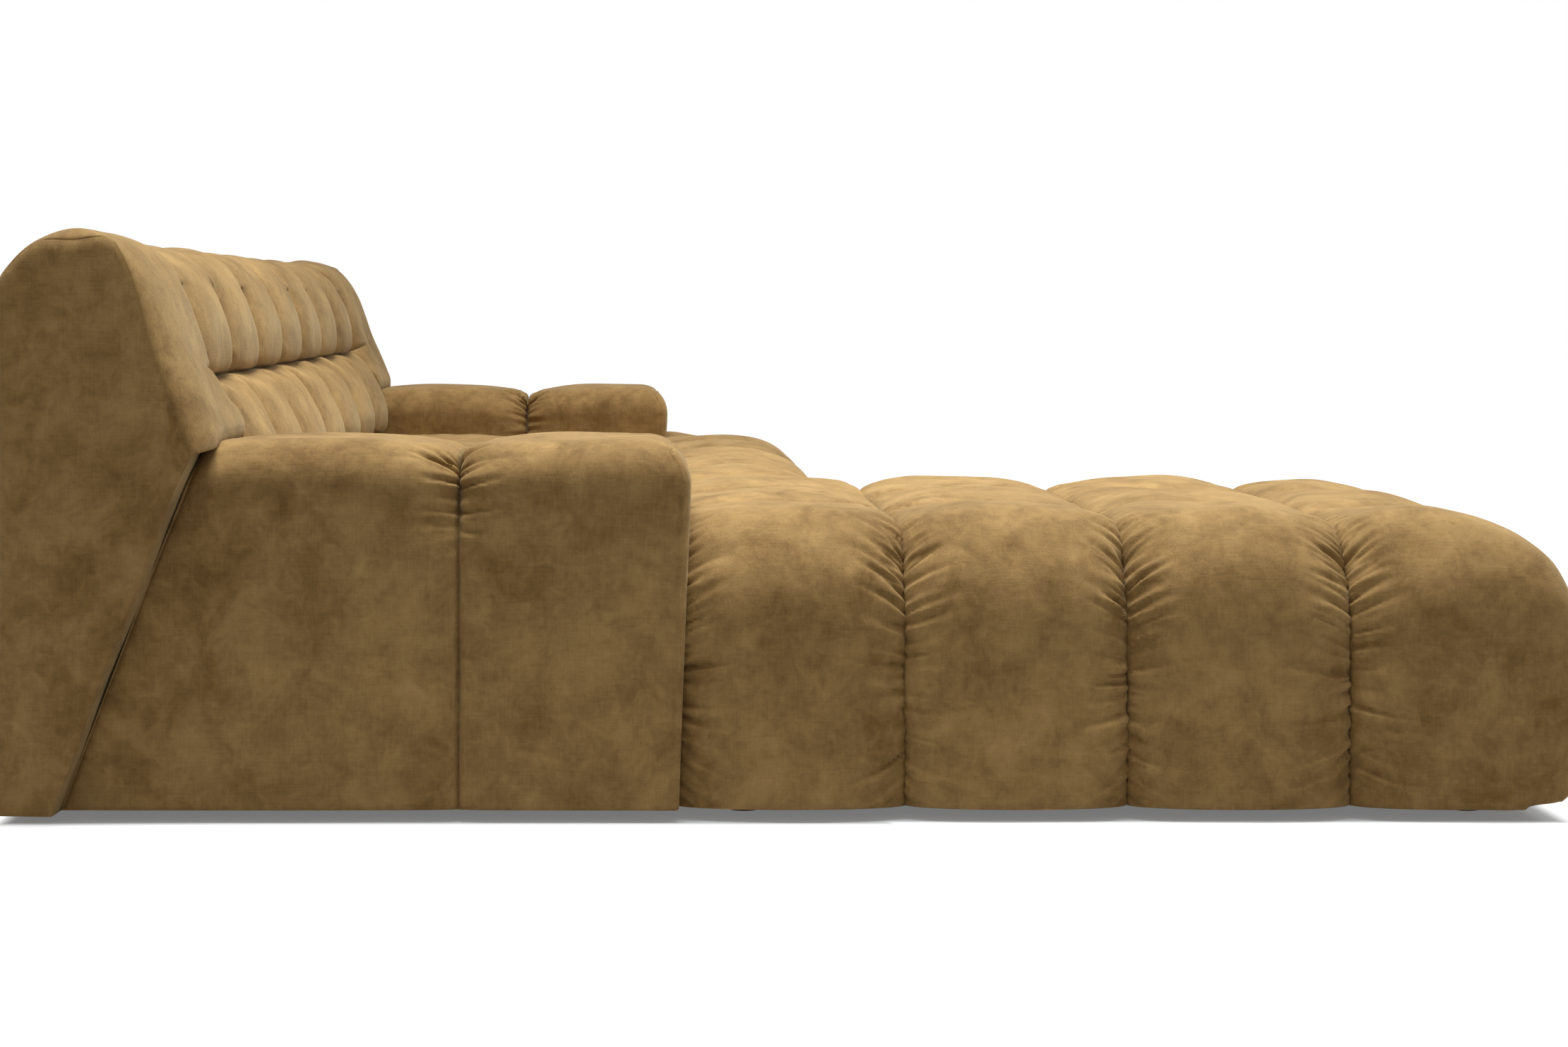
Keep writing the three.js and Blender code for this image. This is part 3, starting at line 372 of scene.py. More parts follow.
def settle(made):
    """Replaces an object's mesh by the one that its modifiers make, and drops them."""
    baked = bpy.data.meshes.new_from_object(made.evaluated_get(bpy.context.evaluated_depsgraph_get()))
    made.modifiers.clear()
    made.data = baked
    return made


def new_tree(name, **sizes):
    """A Geometry Nodes tree with its geometry sockets and named inputs; gives the tree and its inputs."""
    tree = bpy.data.node_groups.new(name, "GeometryNodeTree")
    add_socket = tree.interface.new_socket
    add_socket("Geometry", in_out="INPUT", socket_type="NodeSocketGeometry")
    for label, value in sizes.items():
        added = add_socket(label.replace("_", " "), in_out="INPUT", socket_type="NodeSocketFloat")
        added.default_value = value
    add_socket("Geometry", in_out="OUTPUT", socket_type="NodeSocketGeometry")
    return tree, tree.nodes.new("NodeGroupInput").outputs


def end_tree(tree, geometry, material):
    real = node(tree, "GeometryNodeRealizeInstances", _0=geometry).outputs[0]
    painted = node(tree, "GeometryNodeSetMaterial", Geometry=real, Material=material).outputs[0]
    tree.links.new(painted, tree.nodes.new("NodeGroupOutput").inputs[0])


def grown(made, tree, **sizes):
    """Runs a tree on an object, with some of its inputs set, and keeps the plain mesh that comes out."""
    grow = made.modifiers.new("grow", "NODES")
    grow.node_group = tree
    for socket in tree.interface.items_tree:
        if socket.in_out == "INPUT" and socket.name.replace(" ", "_") in sizes:
            grow[socket.identifier] = sizes[socket.name.replace(" ", "_")]
    return settle(made)


def belt_cloth(way):
    """Ribbed dark cloth for belts that run along one axis, with a pale line near each edge."""
    made, tree = new_material(f"elastic_webbing_{axes[way]}")
    place = place_in(tree)
    parts = parts_of(tree, place)
    woven = maths(tree, "MULTIPLY_ADD", ripple(tree, parts[way], belt_weft), 0.35,
                  ripple(tree, parts[1 - way], belt_rib))
    fuzz = noise_over(tree, place, belt_fuzz, 4)
    tone = maths(tree, "MULTIPLY_ADD", woven, 0.22, fuzz)
    across = node(tree, "ShaderNodeAttribute", {"attribute_name": "belt_across"}).outputs["Fac"]
    off_line = maths(tree, "SUBTRACT", maths(tree, "ABSOLUTE", across), belt_line_place)
    line = between(tree, maths(tree, "ABSOLUTE", off_line), belt_line_half, belt_line_half * 0.6)
    shade = maths(tree, "MULTIPLY_ADD", line, 0.7, between(tree, tone, 0.2, 0.85))
    finish(tree, Base_Color=blend(tree, shade, belt_dark, belt_pale),
           Roughness=between(tree, fuzz, *noise_range, 0.8, 0.95), Normal=relief(tree, *belt_relief, woven))
    return made


def belt_tree(way):
    """Flat belts of one width and thickness along the paths of a mesh's edges."""
    tree, inputs = new_tree(f"woven_belts_{axes[way]}", Width=belt_width, Thickness=belt_thickness,
                            Segment=belt_segment)
    path = node(tree, "GeometryNodeMeshToCurve", Mesh=inputs["Geometry"]).outputs[0]
    rounded = node(tree, "GeometryNodeCurveSplineType", {"spline_type": "CATMULL_ROM"}, Curve=path).outputs[0]
    even = node(tree, "GeometryNodeResampleCurve", {"mode": "LENGTH"}, Curve=rounded,
                Length=inputs["Segment"]).outputs[0]
    flat = node(tree, "GeometryNodeSetCurveNormal", {"mode": "Z_UP"}, Curve=even).outputs[0]
    outline = node(tree, "GeometryNodeCurvePrimitiveQuadrilateral", Width=inputs["Width"],
                   Height=inputs["Thickness"]).outputs[0]
    spot = parts_of(tree, node(tree, "GeometryNodeInputPosition").outputs[0])[0]
    share = maths(tree, "DIVIDE", spot, inputs["Width"])
    marked = node(tree, "GeometryNodeStoreNamedAttribute", Geometry=outline, Name="belt_across",
                  Value=share).outputs[0]
    belts = node(tree, "GeometryNodeCurveToMesh", Curve=flat, Profile_Curve=marked, Fill_Caps=True).outputs[0]
    end_tree(tree, belts, belt_cloth(way))
    return tree


belt_trees = [belt_tree(way) for way in range(2)]

# Wire staples stand at even spaces along a mesh's edges, with their crowns along the path.
wire_staples, inputs = new_tree("wire_staples", Spacing=staple_spacing, Crown=staple_crown, Wire=staple_wire,
                                Leg=staple_leg)
path = node(wire_staples, "GeometryNodeMeshToCurve", Mesh=inputs["Geometry"]).outputs[0]
spots = node(wire_staples, "GeometryNodeResampleCurve", {"mode": "LENGTH"}, Curve=path,
             Length=inputs["Spacing"]).outputs[0]
half = maths(wire_staples, "MULTIPLY", inputs["Crown"], 0.5)
back = maths(wire_staples, "MULTIPLY", half, -1.0)
down = maths(wire_staples, "MULTIPLY", inputs["Leg"], -1.0)
low_left, high_left, low_right, high_right = (
    node(wire_staples, "ShaderNodeCombineXYZ", **spot).outputs[0]
    for spot in (dict(X=back, Z=down), dict(X=back), dict(X=half, Z=down), dict(X=half))
)
bent = node(wire_staples, "GeometryNodeCurvePrimitiveBezierSegment", Resolution=6, Start=low_left,
            Start_Handle=high_left, End_Handle=high_right, End=low_right).outputs[0]
round_wire = node(wire_staples, "GeometryNodeCurvePrimitiveCircle", Resolution=6,
                  Radius=inputs["Wire"]).outputs[0]
staple = node(wire_staples, "GeometryNodeCurveToMesh", Curve=bent, Profile_Curve=round_wire,
              Fill_Caps=True).outputs[0]
turned = node(wire_staples, "FunctionNodeAlignRotationToVector", {"axis": "X"},
              Vector=node(wire_staples, "GeometryNodeInputTangent").outputs[0]).outputs[0]
placed = node(wire_staples, "GeometryNodeInstanceOnPoints", Points=spots, Instance=staple,
              Rotation=turned).outputs[0]
end_tree(wire_staples, placed, zinc_steel)


def lanes(low, high):
    """The middles of belts evenly spaced from one place to another."""
    spaces = max(1, round((high - low - belt_width) / belt_pitch))
    return [low + belt_width / 2 + (high - low - belt_width) * n / spaces for n in range(spaces + 1)]


def joined(name, pieces):
    """One object from several, with all their materials."""
    with bpy.context.temp_override(active_object=pieces[0], selected_editable_objects=pieces):
        bpy.ops.object.join()
    pieces[0].name = name
    return pieces[0]


def side_of(module):
    """Which end of the sofa a module's arm is at: -1 or 1."""
    return -1 if module == "chaise" else 1


def l_plan(module, node_name):
    """An L-shaped plan, drawn with its arm at -X.

    Gives the outer, inner-step and joint places along X, then the rear, step and front ones along Y.
    """
    low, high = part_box(node_name)
    outer, last = (low.x, high.x) if module == "chaise" else (-high.x, -low.x)
    rail_low, rail_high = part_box(f"{module}_arm_rail")
    inner = rail_low.x if module == "chaise" else -rail_high.x
    return (outer, inner, last), (high.y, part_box(f"{module}_step_rail")[1].y, low.y)


for module in modules:
    webbing_low, webbing_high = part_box(f"{module}_seat_webbing")
    (outer, inner, last), (rear, step_y, front) = l_plan(module, f"{module}_seat_webbing")
    level = (webbing_low.z + webbing_high.z) / 2
    lanes_x = [*lanes(outer, inner + belt_width)[:-1], *lanes(inner, last)]
    lanes_y = [*lanes(-rear, -step_y + belt_width)[:-1], *lanes(-step_y, -front)]
    side = side_of(module)
    belts, staple_points = [], []
    for way, (own, others) in enumerate(((lanes_y, lanes_x), (lanes_x, lanes_y))):
        points, edges = [], []
        for number, lane in enumerate(own):
            if way == 0:
                ends = (inner if -lane > step_y else outer, last)
            else:
                ends = (-step_y if lane < inner else -rear, -front)
            crossed = [(m, other) for m, other in enumerate(others) if ends[0] < other < ends[1]]
            along = [ends[0], *(other for m, other in crossed), ends[1]]
            lifts = [-1, *((-1) ** (m + number + way) for m, other in crossed), -1]
            start = len(points)
            for place, lift in zip(along, lifts):
                x, y = (place, -lane) if way == 0 else (lane, -place)
                points.append((-side * x, y, level + lift * belt_lift))
            edges += [(start + n, start + n + 1) for n in range(len(along) - 1)]
            for end, inwards in ((ends[0], 1), (ends[1], -1)):
                for reach in (-0.5, 0.5):
                    beside = lane + reach * (belt_width - staple_crown)
                    place = end + inwards * staple_set_in
                    x, y = (place, -beside) if way == 0 else (beside, -place)
                    staple_points.append((-side * x, y, level - belt_lift + belt_thickness / 2 + staple_wire))
        belts.append(grown(build_mesh(f"{module}_belts_{axes[way]}", points, [], edges), belt_trees[way]))
    webbing = joined(f"{module}_webbing_belts", belts)
    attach(webbing, "root")
    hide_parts(f"{module}_seat_webbing")
    pairs = [(n, n + 1) for n in range(0, len(staple_points), 2)]
    belt_staples = grown(build_mesh(f"{module}_belt_staples", staple_points, [], pairs), wire_staples)
    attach(belt_staples, "root")

# The foam: thick slabs of polyether foam over the webbing, and thinner ones in front of the backs' ribs.
# They are cut from blocks, so their faces show open cells, darkened in colour as painted shade in their
# hollows, and their edges are eased where covers press.
# The back slabs are pressed in at the waist, where the covers' horizontal seam is pulled tight.
foam_voxel = 0.01
foam_smoothing = 5
foam_weld = 1e-5
foam_pale = (0.84, 0.78, 0.6, 1)
foam_aged_and_pore_shade = (0.62, 0.52, 0.3, 1)
foam_cell_scale = 720
foam_relief = (0.7, 0.0008)
waist_height = 0.628
foam_waist_reach = 0.045
foam_waist_depth = 0.024

foam_cells, tree = new_material("cut_polyether_foam")
place = place_in(tree)
cells = cells_over(tree, place, foam_cell_scale)
ageing = noise_over(tree, place, 5, 4)
# The open cells are darkened in colour, which is painted shade in their hollows; the ageing noise adds real
# yellowing.
painted_pore_shade = between(tree, cells, 0.55, 0.15)
tone = maths(tree, "MULTIPLY_ADD", painted_pore_shade, 0.45, between(tree, ageing, 0.4, 0.8, 0, 0.45))
finish(tree, Base_Color=blend(tree, tone, foam_pale, foam_aged_and_pore_shade),
       Roughness=between(tree, cells, 0, 1, 0.85, 1), Normal=relief(tree, *foam_relief, cells))

for module in modules:
    for kind in ("seat", "back"):
        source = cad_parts[f"{module}_{kind}_foam"]
        slab = bpy.data.objects.new(f"{module}_{kind}_foam_slab", source.data.copy())
        bpy.context.scene.collection.objects.link(slab)
        loose = bmesh.new()
        loose.from_mesh(slab.data)
        bmesh.ops.remove_doubles(loose, verts=loose.verts, dist=foam_weld)
        loose.to_mesh(slab.data)
        loose.free()
        rebuild = slab.modifiers.new("rebuild", "REMESH")
        rebuild.mode = "VOXEL"
        rebuild.voxel_size = foam_voxel
        ease = slab.modifiers.new("ease", "SMOOTH")
        ease.iterations = foam_smoothing
        vertices = settle(slab).data.vertices
        if kind == "back":
            at_waist = [v.co.y for v in vertices if abs(v.co.z - waist_height) < foam_voxel]
            foremost, hindmost = min(at_waist), max(at_waist)
            for vertex in vertices:
                press = math.exp(-((vertex.co.z - waist_height) / foam_waist_reach) ** 2)
                ahead = (hindmost - vertex.co.y) / (hindmost - foremost)
                vertex.co.y += foam_waist_depth * press * min(max(ahead, 0), 1)
        slab.data.materials.clear()
        slab.data.materials.append(foam_cells)
        slab.data.shade_smooth()
        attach(slab, "root")
        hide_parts(source.name)

# The dust cloths: black spunbonded cloth, stretched under each module's rails and stapled round its edge.
# Each sags a little inside its edge, and small bonded points dimple it all over.
dust_thickness = 0.0006
dust_sag = 0.005
dust_flat_edge = 0.07
dust_sag_reach = 0.2
dust_cell = 0.022
dust_staple_spacing = 0.06
dust_staple_set_in = 0.012
dust_black = (0.008, 0.008, 0.0085, 1)
dust_grey = (0.024, 0.024, 0.025, 1)
dust_bonds = 650
dust_threads = 420
dust_clouds = 30
dust_relief = (0.5, 0.0003)
hair = 1e-6
far_off = 9


def smooth(share):
    held = np.clip(share, 0, 1)
    return held * held * (3 - 2 * held)


spun, tree = new_material("black_spun_cloth")
place = place_in(tree)
bonds = cells_over(tree, place, dust_bonds)
threads = noise_over(tree, place, dust_threads, 5, 0.7)
tone = maths(tree, "MULTIPLY_ADD", threads, 0.7, noise_over(tree, place, dust_clouds, 4))
finish(tree, Base_Color=blend(tree, between(tree, tone, 0.6, 1.1), dust_black, dust_grey),
       Roughness=between(tree, threads, *noise_range, 0.75, 0.95), Normal=relief(tree, *dust_relief, bonds))

for module in modules:
    cloth_node = f"{module}_dust_cloth"
    cloth_low, cloth_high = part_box(cloth_node)
    (outer, inner, last), (rear, step_y, front) = l_plan(module, cloth_node)
    side = side_of(module)
    corners = np.array([(outer, front), (last, front), (last, rear), (inner, rear), (inner, step_y),
                        (outer, step_y)])
    places_x, places_y = (
        np.concatenate([
            *(np.linspace(a, b, max(2, round(abs(b - a) / dust_cell)), endpoint=False)
              for a, b in zip(ends, ends[1:])),
            ends[-1:],
        ])
        for ends in ((outer, inner, last), (front, step_y, rear))
    )
    grid = np.array([(x, y) for x in places_x for y in places_y])
    gap = np.full(len(grid), float(far_off))
    for a, b in zip(corners, np.roll(corners, -1, axis=0)):
        share = np.clip(((grid - a) @ (b - a)) / ((b - a) @ (b - a)), 0, 1)
        gap = np.minimum(gap, np.linalg.norm(grid - a - share[:, None] * (b - a), axis=1))
    level = (cloth_low.z + cloth_high.z) / 2
    sag = dust_sag * smooth((gap - dust_flat_edge) / dust_sag_reach)
    rows = len(places_y)
    cells = [
        (i * rows + j, (i + 1) * rows + j, (i + 1) * rows + j + 1, i * rows + j + 1)
        for i in range(len(places_x) - 1) for j in range(rows - 1)
        if places_x[i] > inner - hair or places_y[j] < step_y - hair
    ]
    if side > 0:
        cells = [cell[::-1] for cell in cells]
    used = sorted(set(n for cell in cells for n in cell))
    order = {n: m for m, n in enumerate(used)}
    points = [(-side * grid[n][0], grid[n][1], level - sag[n]) for n in used]
    cloth = build_mesh(f"{module}_dust_cover", points, [tuple(order[n] for n in cell) for cell in cells])
    thicken = cloth.modifiers.new("thicken", "SOLIDIFY")
    thicken.thickness = dust_thickness
    thicken.offset = 0
    settle(cloth)
    cloth.data.materials.append(spun)
    cloth.data.shade_smooth()
    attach(cloth, "root")
    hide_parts(cloth_node)
    turns = ((1, 1), (-1, 1), (-1, -1), (1, -1), (1, -1), (1, -1))
    ring = [(-side * (x + dust_staple_set_in * dx), y + dust_staple_set_in * dy,
             level - dust_thickness / 2 - staple_wire) for (x, y), (dx, dy) in zip(corners, turns)]
    loop = [(n, (n + 1) % len(ring)) for n in range(len(ring))]
    cloth_staples = grown(build_mesh(f"{module}_cloth_staples", ring, [], loop), wire_staples,
                          Spacing=dust_staple_spacing, Leg=-staple_leg)
    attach(cloth_staples, "root")

# The seat covers: olive-gold velvet over padding, one cover for each module, sewn into tufts.
# Row seams draw in deeply and run down the sides; column seams are shallower. Where a seam crosses a
# rounded edge, its cloth is gathered, so folds fan out from it.
column_pitch = 0.31
row_pitch = 0.31
column_count = 9
chaise_columns = 3
arm_rows = 2
main_front_rows = 1
chaise_front_rows = 4
front_row_trim = 0.014
seat_height = 0.43
arm_height = 0.527
cover_bottom = 0.015
back_depth = 0.324
module_gap = 0.0008
overrun = 0.002
row_valley = 0.033
column_valley = 0.018
joint_valley = 0.03
arm_side_valley = 0.02
back_side_valley = 0.03
seat_wall = 0.08
flat_wall = 0.04
hollow_bottom = 0.013
seat_hollow_top = 0.335
notch_half = 0.032
notch_top = 0.04
arm_nose = 0.014
side_round = 0.13
front_round = 0.19
side_top_round = 0.165
front_top_round = 0.125
side_fullness = 2.05
front_fullness = 2.6
side_foot_round = 0.009
seat_foot_round = 0.064
seat_foot_share = 1.3
arm_press = 0.011
front_bow = 0.022
front_bow_power = 0.6
front_slope = 0.012
outer_sink = 0.02
outer_sink_starts = 0.85
outer_sink_reach = 0.33
edge_pull = 0.7
seat_power = 2.1
plan_power = 5.5
step = 0.0046
seam_grading = 1.45
seam_reach = 0.15
crease_power = 1.25
ridge_height, ridge_place, ridge_width = 0.42, 2.1, 1.1
flat_at_seam, flat_reach = 0.6, 0.007
long_folds = (0.068, 0.02, 0.0064)
short_folds = (0.05, 0.013, 0.0058)
lumps = ((0.0022, 0.24), (0.0008, 0.09))

sofa_left = -column_count * column_pitch / 2
sofa_rear = cad_high.y
arm_front_depth = back_depth + arm_rows * row_pitch
joint_gap = module_gap / 2
channel_foot_depth = 0.144
channel_seat_depth = 0.3
channel_seat_height = 0.438
channel_lean = (channel_seat_depth - channel_foot_depth) / (channel_seat_height - cover_bottom)


def column_x(column):
    return sofa_left + column * column_pitch


def from_rear(depth):
    return sofa_rear - depth


def seat_rear_y(height):
    return from_rear(channel_foot_depth + (height - cover_bottom) * channel_lean + module_gap)


def mix(a, b, share):
    return a + (b - a) * share


def tuft_rise(share, power):
    """How far a tuft has risen from its seam, from 0 to 1, at a share of the way across it."""
    return (1 - np.abs(2 * share - 1) ** power) ** (1 / power)


class Axis:
    """Fine places along one axis of a padded block, each with its draw, nearest seam and gap to it."""

    def __init__(self, seams, draws, rounds, power):
        self.seams, self.rounds = seams, rounds
        at, draw, gap, seam = [], [], [], []
        last = len(seams) - 2
        for cell in range(last + 1):
            width = seams[cell + 1] - seams[cell]
            count = max(6, round(width / step / 2))
            is_open = [cell == 0 and rounds[0] > 0, cell == last and rounds[1] > 0]
            grades = [1 if plain else seam_grading for plain in is_open]
            low = width / 2 * (np.arange(count) / count) ** grades[0]
            high = width / 2 * ((count - np.arange(count)) / count) ** grades[1]
            if cell == last:
                high = np.append(high, 0)
            for half, offset in enumerate((low, high)):
                away = tuft_rise(offset / width, power)
                at.append(seams[cell] + offset if half == 0 else seams[cell + 1] - offset)
                draw.append(draws[cell + half] * (1 - away))
                gap.append(np.full_like(offset, far_off) if is_open[half] else offset)
                seam.append(np.full(len(offset), 2 * (cell + half) + half))
        self.at, self.draw, self.gap = np.concatenate(at), np.concatenate(draw), np.concatenate(gap)
        self.seam = np.concatenate(seam)
        self.last = len(self.at) - 1


def by_place(places, values):
    """A function that gives the value at a place, between the listed ones."""
    return lambda place: float(np.interp(place, places, values))


def gathers(along, away, strength, slant, folds, seed):
    """How deep cloth folds in beside a gathered seam: creases that leave it, lean, curve and fade.

    The folds are given as their reach, spacing and depth.
    """
    reach, spacing, depth = folds
    rng = np.random.default_rng(seed)
    deep = np.zeros_like(along)
    place, end = along.min(), along.max()
    while place < end:
        power = float(strength(place))
        size = rng.uniform(0.3, 1) * power
        long = reach * (0.35 + 0.9 * size) * rng.uniform(0.7, 1.25)
        wide = spacing * rng.uniform(0.16, 0.3)
        lean = float(slant(place)) * rng.uniform(0.6, 1.3) + rng.uniform(-0.12, 0.12)
        bend = long * 0.45
        curve = place + lean * bend * (1 - np.exp(-away / bend)) + lean * 0.35 * away
        aside = (along - curve) / wide
        aside = np.where(aside > 0, aside / 1.5, -aside)
        fade = np.clip(1 - away / long, 0, 1) ** 1.2 * (1 - flat_at_seam * np.exp(-away / flat_reach))
        ridge = ridge_height * np.exp(-((aside - ridge_place) / ridge_width) ** 2)
        deep += depth * size * fade * (np.exp(-aside ** crease_power) - ridge)
        place += spacing * rng.uniform(0.55, 1.5)
    return deep


def waves(points, length, seed, count=14):
    """A smooth random field, from about -1 to 1, with bumps of about half that length."""
    rng = np.random.default_rng(seed)
    field = np.zeros(len(points))
    for _ in range(count):
        way = rng.normal(size=3)
        way *= rng.uniform(0.6, 1.5) * 2 * math.pi / length / np.linalg.norm(way)
        field += np.sin(points @ way + rng.uniform(0, 2 * math.pi))
    return field / math.sqrt(count)


def per_vertex(made, what):
    """The places or normals of a mesh's vertices."""
    found = np.empty(len(made.data.vertices) * 3)
    made.data.vertices.foreach_get(what, found)
    return found.reshape(-1, 3)


def set_points(made, points):
    made.data.vertices.foreach_set("co", np.ascontiguousarray(points, dtype=np.float64).ravel())
    made.data.update()


def mirror_across(cover):
    """Turns a left-hand cover into a right-hand one, with its faces still outwards."""
    set_points(cover, per_vertex(cover, "co") * (-1, 1, 1))
    cover.data.flip_normals()


def padded_block(name, columns, rows, top, top_rounds, fullnesses, foot_rounds, foot_share, fade_height,
                 warp, dress):
    """A closed padded block, drawn in at the seams of its two axes, then dressed with folds.

    Its rounds and fullnesses are given for its sides first, then for its front.
    """
    foot_round, top_round = foot_rounds[1], max(top_rounds)
    foot_top, shoulder = cover_bottom + foot_round, top - top_round
    zs = np.concatenate([
        np.linspace(cover_bottom, foot_top, max(4, round(foot_round / step * 1.2)), endpoint=False),
        np.linspace(foot_top, shoulder, round((top - top_round - foot_round) / step), endpoint=False),
        np.linspace(shoulder, top, max(4, round(top_round / step * 1.1))),
    ])
    nx, ny, nz = columns.last, rows.last, len(zs) - 1
    key = lambda i, j, k: (i * (ny + 1) + j) * (nz + 1) + k

    def one_side(fixed, value, is_turned, in_cells):
        """The corners of a side's cells, or the ring round the side, wound so that it faces outwards."""
        wide, high = (count for axis, count in enumerate((nx, ny, nz)) if axis != fixed)

        def at(a, b):
            spot = [a, b]
            spot.insert(fixed, value)
            return key(*spot)

        if in_cells:
            a, b = (g.ravel() for g in np.meshgrid(np.arange(wide), np.arange(high), indexing="ij"))
            turns = ((0, 0), (0, 1), (1, 1), (1, 0)) if is_turned else ((0, 0), (1, 0), (1, 1), (0, 1))
            return np.stack([at(a + da, b + db) for da, db in turns], 1)
        a_up, a_down = np.arange(wide), np.arange(wide, 0, -1)
        b_up, b_down = np.arange(high), np.arange(high, 0, -1)
        if is_turned:
            runs = ((0, b_up), (a_up, high), (wide, b_down), (a_down, 0))
        else:
            runs = ((a_up, 0), (wide, b_up), (a_down, high), (0, b_down))
        return np.concatenate([at(a, b) for a, b in runs])

    quads, rings = [one_side(2, nz, False, True)], [one_side(2, 0, True, False)]
    for fixed, axis in enumerate((columns, rows)):
        for end in range(2):
            in_cells = axis.rounds[end] > 0
            (quads if in_cells else rings).append(one_side(fixed, end * axis.last, fixed == end, in_cells))
    quads = np.concatenate(quads)
    keys, at = np.unique(np.concatenate([quads.ravel(), *rings]), return_inverse=True)
    i, j, k = keys // ((ny + 1) * (nz + 1)), keys // (nz + 1) % (ny + 1), keys % (nz + 1)

    def place(i, j, k):
        """Where the vertices lie on the plain block, and where its seams draw them to."""
        up = smooth((zs[k] - cover_bottom) / (top - cover_bottom))

        def span(axis, at, foot):
            low = mix(min(foot, axis.rounds[0]), axis.rounds[0], up)
            high = mix(min(foot, axis.rounds[1]), axis.rounds[1], up)
            core = np.clip(at, axis.seams[0] + low, axis.seams[-1] - high)
            turn = np.where(at < core, low, high)
            return core, turn, np.where(turn > 0, (at - core) / np.maximum(turn, 1e-9), 0)

        core_x, turn_x, out_x = span(columns, columns.at[i], foot_rounds[0])
        core_y, turn_y, out_y = span(rows, rows.at[j], foot_rounds[1])
        reach = np.abs(out_x) + np.abs(out_y)
        ahead = np.where(reach > 0, np.abs(out_y) / np.maximum(reach, 1e-9), 0)
        foot = mix(foot_rounds[0], foot_rounds[1], np.sqrt(ahead))
        fullness = mix(fullnesses[0], fullnesses[1], ahead)
        crown = mix(top_rounds[0], top_rounds[1], ahead)
        level = np.clip(zs[k], cover_bottom + foot, top - crown)
        turn_z = np.where(zs[k] < level, foot, crown)
        rise = (zs[k] - level) / turn_z
        flat = (np.abs(out_x) ** plan_power + np.abs(out_y) ** plan_power) ** (1 / plan_power)
        most = np.maximum(np.maximum(np.abs(out_x), np.abs(out_y)), np.abs(rise))
        length = (flat ** fullness + np.abs(rise) ** fullness) ** (1 / fullness)
        scale = np.where(most > 0, most / np.maximum(length, 1e-9), 0)
        block = np.stack([core_x + turn_x * out_x * scale, core_y + turn_y * out_y * scale,
                          level + turn_z * rise * scale], 1)
        outward = np.stack([out_x, out_y, np.maximum(rise, 0)], 1)
        outward /= np.maximum(np.linalg.norm(outward, axis=1, keepdims=True), 1e-9)
        fade = smooth((zs[k] - fade_height) / (top - top_round - fade_height))
        edge = np.minimum(np.maximum(np.abs(out_x), np.abs(out_y)), np.maximum(rise, 0))
        tight = mix(foot_share, 1, fade) * (1 + edge_pull * edge)
        draw = tight * np.hypot(columns.draw[i], rows.draw[j])
        return block, block - outward * draw[:, None]

    def run_over(fixed, axis):
        """How far along the block's outline each place lies, from the foot of one side to the other's."""
        rise_k, fall_k = np.arange(nz + 1), np.arange(nz, -1, -1)
        over = np.arange(1, axis.last)
        along = np.concatenate([rise_k * 0, over, fall_k * 0 + axis.last])
        levels = np.concatenate([rise_k, over * 0 + nz, fall_k])
        middle = along * 0 + (rows if fixed == 0 else columns).last // 2
        points = place(*((along, middle) if fixed == 0 else (middle, along)), levels)[0]
        return np.concatenate([[0], np.cumsum(np.linalg.norm(np.diff(points, axis=0), axis=1))])

    across, lengthwise = run_over(0, columns), run_over(1, rows)
    on_top = k == nz
    along_row = across[np.where(on_top, nz + i, np.where(i == 0, k, 2 * nz + nx - k))]
    along_column = lengthwise[np.where(on_top, nz + j, np.where(j == 0, k, 2 * nz + ny - k))]
    block, drawn = place(i, j, k)
    faces = at[:quads.size].reshape(-1, 4).tolist()
    start = quads.size
    for ring in rings:
        faces.append(at[start:start + len(ring)].tolist())
        start += len(ring)
    made = build_mesh(name, warp(drawn), faces)
    grip = np.where(k == 0, 0.0, 1.0)
    for spots, axis in ((i, columns), (j, rows)):
        for end in range(2):
            if axis.rounds[end] == 0:
                grip[spots == end * axis.last] = 0
    details = dict(
        points=warp(block), row_at=rows.at[j], total=(across[-1], lengthwise[-1]),
        row_seam=rows.seam[j], row_gap=rows.gap[j], along_row=along_row, row_shoulder=across[nz],
        column_seam=columns.seam[i], column_gap=columns.gap[i], along_column=along_column,
        column_shoulder=lengthwise[nz],
    )
    set_points(made, warp(drawn) - per_vertex(made, "normal") * (dress(details) * grip)[:, None])
    return made


def combine(piece, operation, *others):
    """Joins other closed meshes to a piece, or cuts them out of it."""
    for other in others:
        change = piece.modifiers.new("combine", "BOOLEAN")
        change.operation = operation
        change.solver = "MANIFOLD"
        change.object = other
    settle(piece)
    for other in others:
        bpy.data.objects.remove(other)


def prism(name, ends, outline):
    """A block that runs across the sofa between two places, from its section of depths and heights."""
    section = np.array([(from_rear(depth), height) for depth, height in outline])
    after = np.roll(section, -1, axis=0)
    if (section[:, 0] * after[:, 1] - after[:, 0] * section[:, 1]).sum() < 0:
        section = section[::-1]
    count = len(section)
    points = [(x, y, z) for x in ends for y, z in section]
    faces = [(n, (n + 1) % count, (n + 1) % count + count, n + count) for n in range(count)]
    faces += [tuple(range(count))[::-1], tuple(range(count, 2 * count))]
    return build_mesh(name, points, faces)


def seam_folds(details, axis, seams, folds, seed, strength, slant):
    """The folds beside the seams of one axis."""
    inset = np.zeros(len(details["points"]))
    for seam in seams:
        near = (details[f"{axis}_seam"] == seam) & (details[f"{axis}_gap"] < seam_reach)
        inset[near] = gathers(details[f"along_{axis}"][near], details[f"{axis}_gap"][near],
                              strength, slant, folds, [seed, int(seam)])
    return inset


